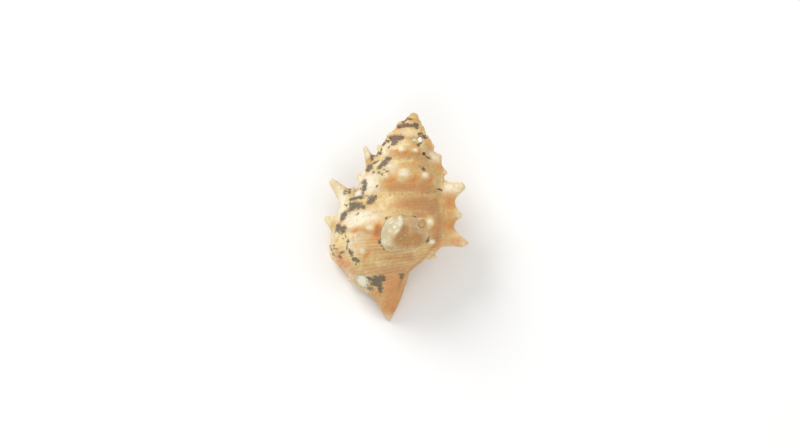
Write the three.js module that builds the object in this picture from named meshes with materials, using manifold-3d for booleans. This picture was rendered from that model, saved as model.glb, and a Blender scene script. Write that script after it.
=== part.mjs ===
// A spiny frog shell, an empty sea shell, with the flat valve of a jingle shell grown onto its back.
// Millimetres, +Z up. The shell rests on its mouth side: the back is up and the apex points along +Y.
//
// The shell is one coiled tube wall. Its skin is worked out from a turn, the number of times that the
// tube has gone round its coiling axis, and a row, the place across the band between two sutures:
// row 0 is the upper suture, row 1 the lower one, and rows 1 to 2 are the base and the siphonal canal
// of the last whorl. A depth is measured from the apex down the coiling axis, and a radius from it.
import * as THREE from "three";
import { ParametricGeometry } from "three/addons/geometries/ParametricGeometry.js";
import { mergeGeometries, mergeVertices } from "three/addons/utils/BufferGeometryUtils.js";
import Module from "manifold-3d";

const wasm = await Module();
wasm.setup();

// Size and growth
const LENGTH = 75; // apex to canal tip
const GROWTH = 1.75; // size of each whorl against the one before it
const BACK_TURN = 5.25; // turn at the middle of the back of the last whorl
const BACK_SUTURE = 29.6; // depth of the suture there
const FIRST_TURN = 0.575; // the small whorls above this are one cone
const LIP_TURN = 5.575; // the edge of the outer lip
const LARGEST_SUTURE_DEPTH = 73;
const SUTURE_SLOPE = 0.505;
const SUTURE_ROUNDING = 34.5;
const APEX_BLUNTNESS = 0.95;
const WHORL_SWELL = 0.085; // bulge of a whorl between its sutures, for each millimetre of depth
const BELLY_FLATNESS = 0.92; // the mouth side is flatter than the back

// Base and canal
const NECK_RADIUS = 6.1;
const NECK_START = 54;
const CANAL_JOIN = 70.5; // below this depth the canal is a closed round tip
const CANAL_JOIN_ROW = 1.7;
const CANAL_BEND = { x: 2, z: -2 }; // reach of the tip to the right and towards the mouth side
const CANAL_BEND_START = 62;

// Rows of knobs, and the varices that carry the spines
const UPPER_KNOBS = 0.49;
const LOWER_KNOBS = 0.84;
const VARIX_OFFSET = 0.035; // turns past the two sides of the shell
const KNOB_STEP = 0.1; // turns from one knob to the next
const ANAL_ROW = 0.1;
const UPPER_SPINE_ROW = 0.42;
const FLANGE_DIP = 0.25;

// Wall, mouth and rest
const WALL = 1.7; // at the lip
const CHAMBER_START = 4.08;
const CHAMBER_STEPS = 30;
const CHAMBER_SIDES = 14;
const GROOVE_TOP = { turn: 0.585, depth: 61.5, radius: 6.9, size: 1.7 };
const GROOVE_END = { turn: 0.65, depth: 73.6, radius: 1.6, size: 0.5 };
const REST_TILT = THREE.MathUtils.degToRad(18); // the canal tip is lower than the apex
const REST_WEAR = 0.45; // depth of the rubbed spots that the shell stands on
const PIERCING = { x: 3.4, depth: 9.2, radius: 0.75 }; // a worn hole right through the spire

// Valve of the jingle shell: its outline on the back as x and depth, and the hole near its hinge
const VALVE_THICKNESS = 0.9;
const VALVE_GAP = 0.35;
const VALVE_OUTLINE = [
  [-5.2, 43.3], [-4.1, 39.5], [-1.1, 37.1], [2.5, 36.4], [5.9, 37], [8.2, 36.8], [9.7, 38], [10.5, 40.4],
  [11.2, 42.6], [10.4, 45.2], [7.8, 47.6], [4.3, 49], [0.8, 49.8], [-2, 50.1], [-3.8, 48.8], [-5.1, 46.4],
];
const VALVE_HOLE = { x: 8.5, depth: 38.7, radius: 1.15 };

// Each varix: its turn, how far its flange stands out for each millimetre of depth, where the flange
// fades out, and its spines with the depth and radius of their tips.
const VARICES = [
  { turn: 0.5, flange: 0.1 },
  { turn: 1, flange: 0.1 },
  { turn: 1.5, flange: 0.3, fade: [0.8, 1] },
  { turn: 2, flange: 0.13, spines: [spine(UPPER_SPINE_ROW, 5.9, 4.9, 0.15)] },
  { turn: 2.5, flange: 0.18, fade: [0.8, 1], spines: [spine(UPPER_SPINE_ROW, 7.3, 7.2, 0.15)] },
  { turn: 3, flange: 0.16, spines: [spine(ANAL_ROW, 8.6, 7.2, 0.1), spine(UPPER_SPINE_ROW, 10.8, 9, 0.13)] },
  { turn: 3.5, flange: 0.14, spines: [spine(ANAL_ROW, 9.6, 8.4, 0.1), spine(UPPER_SPINE_ROW, 13.5, 11.5, 0.13)] },
  { turn: 4, flange: 0.16, spines: [spine(ANAL_ROW, 13.6, 11.8, 0.1), spine(UPPER_SPINE_ROW, 19.4, 15, 0.12)] },
  { turn: 4.5, flange: 0.08, spines: [spine(ANAL_ROW, 14.3, 16.2, 0.1), spine(UPPER_SPINE_ROW, 25.3, 17.2, 0.11)] },
  {
    turn: 5,
    flange: 0.15,
    fade: [0.8, 1],
    spines: [
      spine(ANAL_ROW, 22.9, 22, 0.1),
      spine(UPPER_SPINE_ROW, 33.9, 22.2, 0.1),
      spine(LOWER_KNOBS, 43.9, 26.3, 0.16),
      spine(1.12, 50.1, 15, 0.08),
    ],
  },
  {
    turn: 5.5,
    flange: 0.11,
    fade: [0.7, 1.15],
    spines: [
      spine(ANAL_ROW, 28, 27, 0.1),
      spine(UPPER_SPINE_ROW, 42, 26.5, 0.12),
      spine(LOWER_KNOBS, 51, 23.8, 0.12),
      spine(0.95, 56, 21.6, 0.12),
      spine(1.33, 62.7, 14.8, 0.16),
    ],
  },
];

function spine(row, depth, radius, width) {
  return { row, depth, radius, width };
}

const clamp01 = (x) => Math.min(1, Math.max(0, x));
const smooth = (x) => clamp01(x) ** 2 * (3 - 2 * clamp01(x));
const bell = (x) => Math.exp(-x * x);

// Spiral of the suture
const scaleAt = (turn) => BACK_SUTURE * GROWTH ** (turn - BACK_TURN);

function sutureDepth(turn) {
  const scale = scaleAt(turn);
  return scale * (1 + (scale / LARGEST_SUTURE_DEPTH) ** 6) ** (-1 / 6);
}

function sutureRadius(turn) {
  const scale = scaleAt(turn);
  const blunt = APEX_BLUNTNESS * (1 - Math.exp(-scale / 1.5));
  return (SUTURE_SLOPE * scale) / (1 + (scale / SUTURE_ROUNDING) ** 3) ** (1 / 3) + blunt;
}

// The neck narrows down the canal and ends in a small blunt tip.
function neckRadius(depth) {
  const along = clamp01((depth - NECK_START) / (LENGTH - NECK_START));
  return NECK_RADIUS * (1 - along ** 2.4) + 0.5 * Math.max(0, 1 - ((depth - 74.2) / 0.8) ** 2);
}

// Length of the narrowing from the last whorl to the neck, longest on the back
function baseLength(turn) {
  const angle = 2 * Math.PI * turn;
  return 11 + 5 * Math.max(0, Math.sin(angle)) + 1.8 * Math.max(0, -Math.cos(angle));
}

// Radius of the smooth whorl, without varices or knobs
function whorlRadius(turn, depth) {
  const top = sutureDepth(turn);
  const bottom = sutureDepth(turn + 1);
  const topRadius = sutureRadius(turn);
  const rise = sutureRadius(turn + 1) - topRadius;
  const swell = WHORL_SWELL * scaleAt(turn);
  if (depth <= bottom) {
    const row = clamp01((depth - top) / (bottom - top));
    const away = row < UPPER_KNOBS ? 1 - row / UPPER_KNOBS : (row - UPPER_KNOBS) / (1 - UPPER_KNOBS);
    return topRadius + rise * row + swell * (1 - away ** 1.6);
  }
  const length = Math.min(baseLength(turn), CANAL_JOIN - bottom);
  if (depth >= bottom + length) return neckRadius(depth);
  const x = (depth - bottom) / length;
  const slope = (rise - (1.6 * swell) / (1 - UPPER_KNOBS)) / (bottom - top);
  const neck = neckRadius(bottom + length);
  const neckSlope = (neckRadius(bottom + length + 0.1) - neck) / 0.1;
  const start = topRadius + rise;
  const down = 2 * x ** 3 - 3 * x ** 2 + 1;
  const leave = (x ** 3 - 2 * x ** 2 + x) * length * slope;
  const arrive = (x ** 3 - x ** 2) * length * neckSlope;
  return down * start + leave + (1 - down) * neck + arrive;
}

function rowDepth(turn, row) {
  const top = sutureDepth(turn);
  const bottom = sutureDepth(turn + 1);
  if (row <= 1) return top + (bottom - top) * row;
  if (row <= CANAL_JOIN_ROW) return bottom + ((CANAL_JOIN - bottom) * (row - 1)) / (CANAL_JOIN_ROW - 1);
  return CANAL_JOIN + ((LENGTH - CANAL_JOIN) * (row - CANAL_JOIN_ROW)) / (2 - CANAL_JOIN_ROW);
}

// A varix rises slowly on its older side and falls steeply on its newer side, but the last one
// keeps most of its height as far as the lip.
function varixHeight(turn, varix) {
  const past = turn - varix.turn - VARIX_OFFSET;
  if (past < 0) return bell(past / 0.05);
  return bell(past / (varix.turn === 5.5 ? 0.12 : 0.022));
}

// Each suture climbs a little over the varix that it meets.
function sutureClimb(turn) {
  let sum = 0;
  for (const varix of VARICES) {
    const past = turn - varix.turn - VARIX_OFFSET;
    sum += bell(past / (past < 0 ? 0.045 : 0.028)) * scaleAt(varix.turn + VARIX_OFFSET);
  }
  return sum;
}

// A flange is highest at its spines and dips between them.
function flangeShape(row, varix) {
  const [from, to] = varix.fade ?? [0.6, 1];
  const between = row < UPPER_SPINE_ROW ? [ANAL_ROW, UPPER_SPINE_ROW] : [UPPER_SPINE_ROW, LOWER_KNOBS];
  const dip = Math.sin(Math.PI * clamp01((row - between[0]) / (between[1] - between[0]))) ** 2;
  const shape = Math.sin((Math.PI / 2) * Math.min(1, row / 0.3)) * (1 - FLANGE_DIP * dip);
  return shape * (1 - smooth((row - from) / (to - from)));
}

// Depth and radius of the skin with its varix flanges, before the spines
function flangedPoint(turn, row) {
  const across = Math.min(1, row);
  const above = sutureClimb(turn) * (1 - across) ** 3;
  const below = sutureClimb(turn + 1) * across ** 5 * (1 - smooth((row - 1) / 0.25));
  const smoothDepth = rowDepth(turn, row);
  let radius = whorlRadius(turn, smoothDepth) + 0.09 * (above + below);
  for (const varix of VARICES) {
    const height = varix.flange * scaleAt(varix.turn + VARIX_OFFSET);
    radius += height * varixHeight(turn, varix) * flangeShape(row, varix);
  }
  return { depth: smoothDepth - 0.155 * (above + below), radius };
}

function knobHeight(turn, row) {
  let height = 0;
  const nearest = Math.round((turn - VARIX_OFFSET) / KNOB_STEP);
  const centre = VARIX_OFFSET + nearest * KNOB_STEP;
  if (nearest % 5 === 0 || centre < 1.5) return 0;
  const size = scaleAt(centre);
  height += 0.045 * size * bell((turn - centre) / 0.017) * bell((row - UPPER_KNOBS) / 0.085);
  if (centre > 4.55) height += 0.028 * size * bell((turn - centre) / 0.015) * bell((row - LOWER_KNOBS) / 0.06);
  return height;
}

function skinPoint(turn, row) {
  const point = flangedPoint(turn, row);
  point.radius += knobHeight(turn, row);
  for (const varix of VARICES) {
    for (const spike of varix.spines ?? []) {
      const reach = clamp01(1 - Math.abs(row - spike.row) / spike.width) ** 1.4;
      const round = bell((turn - varix.turn - VARIX_OFFSET) / 0.015);
      if (reach * round < 1e-4) continue;
      const foot = flangedPoint(varix.turn + VARIX_OFFSET, spike.row);
      point.depth += (spike.depth - foot.depth) * reach * round;
      point.radius += (spike.radius - foot.radius) * reach * round;
    }
  }
  return point;
}

// From turn, depth and radius to X, Y and Z round the coiling axis
function place(turn, depth, radius, target = new THREE.Vector3()) {
  const angle = 2 * Math.PI * turn;
  const bend = Math.max(0, (depth - CANAL_BEND_START) / (LENGTH - CANAL_BEND_START)) ** 2;
  const up = radius * Math.sin(angle) * (Math.sin(angle) < 0 ? BELLY_FLATNESS : 1);
  return target.set(CANAL_BEND.x * bend + radius * Math.cos(angle), -depth, CANAL_BEND.z * bend + up);
}

// Stations round each turn: close together at the two varices and at the knobs between them
const HALF_TURN_STEPS = [
  0, 0.012, 0.026, 0.04, 0.08, 0.1, 0.12, 0.15, 0.18, 0.2, 0.22, 0.25, 0.28, 0.3, 0.32, 0.35, 0.38, 0.4,
  0.42, 0.45, 0.47, 0.485,
];
const BAND_ROWS = [0, 0.05, 0.1, 0.18, 0.27, 0.36, 0.42, 0.49, 0.56, 0.66, 0.76, 0.84, 0.92, 1];
const BASE_ROWS = [1, 1.06, 1.12, 1.2, 1.28, 1.35, 1.43, 1.52, 1.61, 1.7, 1.8, 1.9, 1.95, 2];

function stationsBetween(first, last) {
  const turns = [];
  for (let half = 0; half < 12; half++) {
    for (const step of HALF_TURN_STEPS) {
      const turn = half / 2 + VARIX_OFFSET + step;
      if (turn > first - 1e-6 && turn < last + 1e-6) turns.push(turn);
    }
  }
  return turns;
}

// A grid of points as a three.js surface: one column for each item of across, one for each of along
function sheet(across, along, pointAt) {
  const at = (list, u) => list[Math.round(u * (list.length - 1))];
  const fill = (u, v, target) => pointAt(at(across, u), at(along, v), target);
  return new ParametricGeometry(fill, across.length - 1, along.length - 1);
}

function turnedOver(geometry) {
  const index = geometry.index.array;
  for (let i = 0; i < index.length; i += 3) [index[i], index[i + 1]] = [index[i + 1], index[i]];
  return geometry;
}

// One closed surface as a solid: shared corners are joined, and triangles with no area go
function toSolid(geometries) {
  const bare = geometries.map((geometry) => {
    const copy = geometry.index ? geometry.toNonIndexed() : geometry.clone();
    copy.deleteAttribute("normal");
    copy.deleteAttribute("uv");
    return copy;
  });
  const merged = mergeVertices(mergeGeometries(bare), 1e-3);
  const kept = [];
  const corners = merged.index.array;
  for (let i = 0; i < corners.length; i += 3) {
    const [a, b, c] = corners.slice(i, i + 3);
    if (a !== b && b !== c && c !== a) kept.push(a, b, c);
  }
  const vertProperties = merged.attributes.position.array;
  return new wasm.Manifold(new wasm.Mesh({ numProp: 3, vertProperties, triVerts: new Uint32Array(kept) }));
}

function toGeometry(solid) {
  const { vertProperties, triVerts } = solid.getMesh();
  const geometry = new THREE.BufferGeometry();
  geometry.setAttribute("position", new THREE.BufferAttribute(vertProperties, 3));
  geometry.setIndex(new THREE.BufferAttribute(triVerts, 1));
  geometry.computeVertexNormals();
  return geometry;
}

const onSkin = (turn, row, target) => {
  const { depth, radius } = skinPoint(turn, row);
  return place(turn, depth, radius, target);
};

// Skin of every whorl, from the apex cone to the lip
const band = () => sheet(stationsBetween(FIRST_TURN, LIP_TURN), BAND_ROWS, onSkin);

// Skin of the base and canal below the last whorl
const base = () => sheet(stationsBetween(LIP_TURN - 1, LIP_TURN), BASE_ROWS, onSkin);

// Cone over the open top of the band: once round the first suture, then back down the first station
function apexCone() {
  const rim = stationsBetween(FIRST_TURN, FIRST_TURN + 1).map((turn) => [turn, 0]);
  const seam = BAND_ROWS.slice(1, -1).reverse().map((row) => [FIRST_TURN, row]);
  const loop = [...rim, ...seam, rim[0]];
  const apex = new THREE.Vector3(0, 0, 0);
  return sheet(loop, [0, 1], ([turn, row], share, target) => onSkin(turn, row, target).lerp(apex, share));
}

// Flat end of the tube at the lip, in the half plane of the lip's turn
function lipFace() {
  const outer = [...BAND_ROWS, ...BASE_ROWS.slice(1)].map((row) => [LIP_TURN, row]);
  const inner = BASE_ROWS.slice(1).map((row) => [LIP_TURN - 1, row]).reverse();
  const joined = inner.filter(([, row]) => row < CANAL_JOIN_ROW - 1e-6);
  const loop = [...outer.filter(([, row]) => row < CANAL_JOIN_ROW + 1e-6), ...joined];
  const corners = loop.map(([turn, row]) => skinPoint(turn, row));
  const outline = new THREE.Shape(corners.map(({ depth, radius }) => new THREE.Vector2(radius, depth)));
  const flat = new THREE.ShapeGeometry(outline);
  const position = flat.attributes.position;
  const point = new THREE.Vector3();
  for (let i = 0; i < position.count; i++) {
    place(LIP_TURN, position.getY(i), position.getX(i), point);
    position.setXYZ(i, point.x, point.y, point.z);
  }
  return flat;
}

// A closed solid through rings of points, with each end ring drawn together at its middle
function ringSolid(rings) {
  const middle = (ring) => ring.reduce((sum, p) => sum.add(p), new THREE.Vector3()).divideScalar(ring.length);
  const ends = [middle(rings[0]), middle(rings.at(-1))];
  const all = [rings[0].map(() => ends[0]), ...rings, rings.at(-1).map(() => ends[1])];
  const around = [...rings[0].keys(), 0];
  return outward([sheet(all, around, (ring, i, target) => target.copy(ring[i]))]);
}

// The solid of one closed surface, whichever way its triangles were wound
function outward(geometries) {
  const solid = toSolid(geometries);
  return solid.volume() > 0 ? solid : toSolid(geometries.map(turnedOver));
}

// One section of the hollow of the tube, between the outer wall and the whorl before it
function chamberSection(turn) {
  const wall = (WALL * scaleAt(turn)) / scaleAt(LIP_TURN);
  const top = sutureDepth(turn) + wall;
  const bottom = sutureDepth(turn + 1) + 0.55 * baseLength(turn);
  const ring = [];
  for (let i = 0; i < CHAMBER_SIDES; i++) {
    const angle = (2 * Math.PI * i) / CHAMBER_SIDES;
    const depth = (top + bottom) / 2 - ((bottom - top) / 2) * Math.cos(angle);
    const outer = whorlRadius(turn, depth) - wall;
    const inner = whorlRadius(turn - 1, depth) + wall / 2;
    const side = Math.sign(Math.sin(angle)) * Math.abs(Math.sin(angle)) ** 0.7;
    ring.push(place(turn, depth, (outer + inner) / 2 + (side * Math.max(0.3, outer - inner)) / 2));
  }
  return ring;
}

function chamber() {
  const rings = [];
  const past = LIP_TURN + 0.004;
  for (let i = 0; i <= CHAMBER_STEPS; i++) {
    rings.push(chamberSection(CHAMBER_START + ((past - CHAMBER_START) * i) / CHAMBER_STEPS));
  }
  return ringSolid(rings);
}

// A round bar between two points
function bar(from, to, fromRadius, toRadius, sides) {
  const length = from.distanceTo(to);
  const geometry = new THREE.CylinderGeometry(toRadius, fromRadius, length, sides);
  const along = to.clone().sub(from).normalize();
  const turnTo = new THREE.Quaternion().setFromUnitVectors(new THREE.Vector3(0, 1, 0), along);
  const middle = from.clone().add(to).divideScalar(2);
  geometry.applyMatrix4(new THREE.Matrix4().compose(middle, turnTo, new THREE.Vector3(1, 1, 1)));
  return outward([geometry]);
}

// The open siphonal canal, a groove from the mouth to the tip
function canalGroove() {
  const from = place(GROOVE_TOP.turn, GROOVE_TOP.depth, GROOVE_TOP.radius);
  const to = place(GROOVE_END.turn, GROOVE_END.depth, GROOVE_END.radius);
  return bar(from, to, GROOVE_TOP.size, GROOVE_END.size, 12);
}

function piercing() {
  const { x, depth, radius } = PIERCING;
  return bar(new THREE.Vector3(x, -depth, -20), new THREE.Vector3(x, -depth, 20), radius, radius, 10);
}

function shellSolid() {
  const skin = outward([band(), base(), turnedOver(apexCone()), turnedOver(lipFace())]);
  return skin.subtract(chamber()).subtract(canalGroove()).subtract(piercing());
}

// The valve grew flat onto the back, so it is an even layer that follows the knobs below it
function valveSolid() {
  const rows = BAND_ROWS.filter((row) => row > 0.2).concat(BASE_ROWS.slice(1, 6));
  const rings = stationsBetween(5.06, 5.44).map((turn) => {
    const raised = (row, height) => {
      const { depth, radius } = skinPoint(turn, row);
      return place(turn, depth, radius + height);
    };
    const above = rows.map((row) => raised(row, VALVE_GAP + VALVE_THICKNESS));
    const below = rows.map((row) => raised(row, VALVE_GAP)).reverse();
    return [...above, ...below];
  });
  const corners = VALVE_OUTLINE.map(([x, depth]) => new THREE.Vector2(x, -depth));
  const edge = new THREE.Shape(new THREE.SplineCurve([...corners, corners[0]]).getPoints(32).slice(0, -1));
  const prism = new THREE.ExtrudeGeometry(edge, { depth: 40, bevelEnabled: false, steps: 1 });
  const { x, depth, radius } = VALVE_HOLE;
  const hole = bar(new THREE.Vector3(x, -depth, 0), new THREE.Vector3(x, -depth, 40), radius, radius, 12);
  return ringSolid(rings).intersect(outward([prism])).subtract(hole);
}

// Stand the pieces in the rest pose: canal tip down, lowest point just below the ground plane, and
// the middle of the shell's outline over the origin. The ground then trims the rubbed spots flat.
const shellPiece = toGeometry(shellSolid()).rotateX(REST_TILT);
shellPiece.computeBoundingBox();
const { min, max } = shellPiece.boundingBox;
const toGround = [-(min.x + max.x) / 2, -(min.y + max.y) / 2, -min.z - REST_WEAR];
const underground = new THREE.BoxGeometry(4 * LENGTH, 4 * LENGTH, LENGTH).translate(0, 0, -LENGTH / 2);
const rested = outward([shellPiece.translate(...toGround)]).subtract(outward([underground]));
const valvePiece = toGeometry(valveSolid()).rotateX(REST_TILT).translate(...toGround);

function piece(name, geometry, color, roughness) {
  const mesh = new THREE.Mesh(geometry, new THREE.MeshStandardMaterial({ color, roughness, metalness: 0 }));
  mesh.name = name;
  return mesh;
}

const frogShell = new THREE.Group();
frogShell.add(piece("conch_shell", toGeometry(rested), 0xe0bd8c, 0.45));
frogShell.add(piece("jingle_valve", valvePiece, 0xc9b48e, 0.3));

export default frogShell;
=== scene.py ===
"""An empty spiny frog shell, with the valve of a jingle shell grown onto its back.

The shell is one coiled tube wall. A point of its skin is given by a turn, the number of times that
the tube has gone round its coiling axis, and a row, the place across the band between two sutures:
row 0 is the upper suture, row 1 the lower one, and rows 1 to 2 are the base and canal of the last
whorl. A depth is measured from the apex down the coiling axis and a radius from it, in millimetres.
"""
import logging
import math
from dataclasses import dataclass
from enum import Enum

import bmesh
import bpy
from mathutils import Matrix, Vector, noise
from mathutils.bvhtree import BVHTree


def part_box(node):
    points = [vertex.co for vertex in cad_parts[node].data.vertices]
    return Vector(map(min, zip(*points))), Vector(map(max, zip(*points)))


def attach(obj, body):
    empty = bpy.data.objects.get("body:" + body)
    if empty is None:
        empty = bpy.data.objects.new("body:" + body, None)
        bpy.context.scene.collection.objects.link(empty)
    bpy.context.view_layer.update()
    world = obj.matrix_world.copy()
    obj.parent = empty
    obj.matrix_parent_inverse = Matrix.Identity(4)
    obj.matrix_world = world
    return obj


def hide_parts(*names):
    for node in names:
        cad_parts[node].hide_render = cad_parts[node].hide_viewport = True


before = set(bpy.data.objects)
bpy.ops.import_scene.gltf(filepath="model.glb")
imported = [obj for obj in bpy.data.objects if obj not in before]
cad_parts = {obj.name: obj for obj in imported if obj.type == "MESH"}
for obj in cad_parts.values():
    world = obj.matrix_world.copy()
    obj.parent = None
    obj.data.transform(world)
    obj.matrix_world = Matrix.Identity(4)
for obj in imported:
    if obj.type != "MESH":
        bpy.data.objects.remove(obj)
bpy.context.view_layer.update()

LOG = logging.getLogger("frog_shell")
MM = 0.001
FULL_TURN = 2 * math.pi
LIP_TURN = 5.575


def clamp01(x: float) -> float:
    """Limit x to the range 0 to 1."""
    return min(1.0, max(0.0, x))


def smooth(x: float) -> float:
    """Ease from 0 to 1 as x goes from 0 to 1."""
    x = clamp01(x)
    return x * x * (3 - 2 * x)


def bell(x: float) -> float:
    """Bell curve of height 1 round x = 0."""
    return math.exp(-x * x) if abs(x) < 5 else 0.0


def mix(a: float, b: float, share: float) -> float:
    """Blend two numbers, a at share 0 and b at share 1."""
    return a + (b - a) * share


@dataclass(frozen=True)
class Spine:
    """One spine: the row that it stands on, its tip, and how wide its foot is across the rows."""

    row: float
    depth: float
    radius: float
    foot: float = 2.7


@dataclass(frozen=True)
class Varix:
    """A raised rib where growth paused, with its flange and the spines on its crest.

    The flange's height is a share of the whorl's size. It fades out between two rows, and its dips
    are the shares that it loses between the upper spines and between the lower ones.
    """

    turn: float
    flange: float
    spines: tuple[Spine, ...] = ()
    fade: tuple[float, float] = (0.6, 1.0)
    dips: tuple[float, float] = (0.25, 0.25)


# Rows that the spines and the knobs stand on
ANAL_ROW = 0.1
SPINE_ROW = 0.42
UPPER_KNOBS = 0.49
LOWER_KNOBS = 0.84

VARICES = (
    Varix(0.5, 0.1),
    Varix(1.0, 0.1),
    Varix(1.5, 0.52, (), (0.85, 1.0), (0.1, 0.1)),
    Varix(2.0, 0.13, (Spine(SPINE_ROW, 5.9, 4.9, 0.8),)),
    Varix(2.5, 0.27, (Spine(SPINE_ROW, 7.5, 6.9, 1.0),), (0.9, 1.0), (0.4, -0.4)),
    Varix(3.0, 0.16, (Spine(ANAL_ROW, 8.6, 7.2, 1.0), Spine(SPINE_ROW, 10.8, 9.0, 1.2))),
    Varix(3.5, 0.14, (Spine(ANAL_ROW, 9.6, 8.4, 1.1), Spine(SPINE_ROW, 13.5, 11.5, 1.5))),
    Varix(4.0, 0.16, (Spine(ANAL_ROW, 13.6, 11.8, 1.5), Spine(SPINE_ROW, 19.4, 15.0, 1.8))),
    Varix(4.5, 0.08, (Spine(ANAL_ROW, 14.3, 16.2, 2.1), Spine(SPINE_ROW, 25.3, 17.2, 2.2))),
    Varix(
        5.0,
        0.15,
        (
            Spine(ANAL_ROW, 22.7, 21.6, 3.0),
            Spine(SPINE_ROW, 33.9, 22.2, 2.4),
            Spine(LOWER_KNOBS, 43.9, 25.7, 4.2),
            Spine(1.12, 50.1, 15.0, 1.9),
        ),
        (0.8, 1.0),
    ),
    Varix(
        5.5,
        0.11,
        (
            Spine(ANAL_ROW, 28.0, 26.7, 2.5),
            Spine(SPINE_ROW, 42.0, 26.3, 2.8),
            Spine(LOWER_KNOBS, 51.0, 23.4, 3.2),
            Spine(0.95, 56.0, 21.6, 2.8),
            Spine(1.33, 62.7, 14.8, 2.4),
        ),
        (0.7, 1.15),
        (0.25, 0.0),
    ),
)


@dataclass(frozen=True)
class Column:
    """The values that all points of one turn share.

    They are its whorl's size, the depth and radius of the sutures above and below, how far both
    climb over a varix, the length of the base, and the varices near it with their heights.
    """

    turn: float
    scale: float
    top: float
    bottom: float
    top_radius: float
    bottom_radius: float
    above: float
    below: float
    base_length: float
    flanges: tuple[tuple[Varix, float], ...]


@dataclass(frozen=True)
class GrowthLaw:
    """The form of the shell: how its whorls, varices, knobs and canal grow from turn to turn."""

    length: float = 75.0
    growth: float = 1.75
    back_turn: float = 5.25
    back_suture: float = 29.6
    lip_turn: float = LIP_TURN
    largest_suture: float = 73.0
    suture_slowing: int = 6
    suture_slope: float = 0.505
    suture_rounding: float = 34.5
    apex_bluntness: float = 0.95
    apex_reach: float = 1.5
    apex_fullness: float = 0.4
    apex_full_at: float = 1.6
    swell: float = 0.085
    swell_power: float = 1.6
    belly_flatness: float = 0.92
    base_length: float = 10.5
    back_base_length: float = 5.0
    side_base_length: float = 1.8
    neck_radius: float = 6.35
    neck_start: float = 54.0
    neck_power: float = 2.75
    tip_flare: float = 0.22
    tip_flare_start: float = 72.6
    canal_join: float = 70.5
    canal_join_row: float = 1.7
    canal_bend: tuple[float, float] = (2.0, -2.0)
    canal_bend_start: float = 62.0
    varix_offset: float = 0.035
    flange_widths: tuple[float, float] = (0.05, 0.022)
    lip_flange_width: float = 0.12
    climb_widths: tuple[float, float] = (0.045, 0.028)
    climb_rise: float = 0.155
    climb_swell: float = 0.09
    knob_step: float = 0.1
    knob_width: float = 0.0165
    upper_knob_height: float = 0.075
    lower_knob_height: float = 0.055
    lower_knobs_from: float = 4.55
    knobs_from: float = 1.5
    wall: float = 1.7

    def scale_at(self, turn: float) -> float:
        """Size of the whorl at a turn: the depth of its suture if growth never slowed."""
        return self.back_suture * self.growth ** (turn - self.back_turn)

    def suture_depth(self, turn: float) -> float:
        """Depth of the suture at a turn."""
        scale, power = self.scale_at(turn), self.suture_slowing
        return scale * (1 + (scale / self.largest_suture) ** power) ** (-1 / power)

    def suture_radius(self, turn: float) -> float:
        """Radius of the suture at a turn.

        Args:
            turn: where on the coil.

        Returns:
            The radius in millimetres, fuller near the blunt apex.
        """
        scale = self.scale_at(turn)
        blunt = self.apex_bluntness * (1 - math.exp(-scale / self.apex_reach))
        rounding = (1 + (scale / self.suture_rounding) ** 3) ** (1 / 3)
        fuller = self.apex_fullness * bell(scale - self.apex_full_at)
        return self.suture_slope * scale / rounding + blunt + fuller

    def neck(self, depth: float) -> float:
        """Radius of the neck and canal at a depth.

        Args:
            depth: distance below the apex along the coiling axis.

        Returns:
            The radius in millimetres: a taper with a small flare and a rounded end.
        """
        along = clamp01((depth - self.neck_start) / (self.length - self.neck_start))
        flare = self.tip_flare * max(0.0, depth - self.tip_flare_start)
        radius = self.neck_radius * (1 - along**self.neck_power) + flare
        return radius * math.sqrt(max(0.0, 1 - max(0.0, depth - self.length + 1) ** 2))

    def climb(self, turn: float) -> float:
        """How far the suture climbs over the varices near a turn.

        Args:
            turn: where on the coil.

        Returns:
            The climb, as a share of each varix's own size.
        """
        total = 0.0
        before, after = self.climb_widths
        for varix in VARICES:
            past = turn - varix.turn - self.varix_offset
            width = before if past < 0 else after
            total += bell(past / width) * self.scale_at(varix.turn + self.varix_offset)
        return total

    def flange_height(self, turn: float, varix: Varix) -> float:
        """Height of a varix at a turn: gentle on the older side, steep on the newer side.

        Args:
            turn: where on the coil.
            varix: the rib.

        Returns:
            The height in millimetres.
        """
        past = turn - varix.turn - self.varix_offset
        older, newer = self.flange_widths
        if past < 0:
            width = older
        else:
            width = self.lip_flange_width if varix is VARICES[-1] else newer
        return bell(past / width) * varix.flange * self.scale_at(varix.turn + self.varix_offset)

    def column(self, turn: float) -> Column:
        """Work out what all points of one turn share.

        Args:
            turn: where on the coil.

        Returns:
            The shared values.
        """
        heights = ((varix, self.flange_height(turn, varix)) for varix in VARICES)
        angle = FULL_TURN * turn
        length = self.base_length + self.back_base_length * max(0.0, math.sin(angle))
        return Column(
            turn=turn,
            scale=self.scale_at(turn),
            top=self.suture_depth(turn),
            bottom=self.suture_depth(turn + 1),
            top_radius=self.suture_radius(turn),
            bottom_radius=self.suture_radius(turn + 1),
            above=self.climb(turn),
            below=self.climb(turn + 1),
            base_length=length - self.side_base_length * math.cos(angle),
            flanges=tuple((varix, height) for varix, height in heights if height > 1e-4),
        )

    def whorl_radius(self, column: Column, depth: float) -> float:
        """Radius of the smooth whorl at a depth, without varices or knobs.

        Args:
            column: the turn's shared values.
            depth: distance below the apex along the coiling axis.

        Returns:
            The radius in millimetres.
        """
        rise = column.bottom_radius - column.top_radius
        span = column.bottom - column.top
        swell = self.swell * column.scale
        if depth <= column.bottom:
            row = clamp01((depth - column.top) / span)
            if row < UPPER_KNOBS:
                away = 1 - row / UPPER_KNOBS
            else:
                away = (row - UPPER_KNOBS) / (1 - UPPER_KNOBS)
            return column.top_radius + rise * row + swell * (1 - away**self.swell_power)
        length = min(column.base_length, self.canal_join - column.bottom)
        if depth >= column.bottom + length:
            return self.neck(depth)
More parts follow.
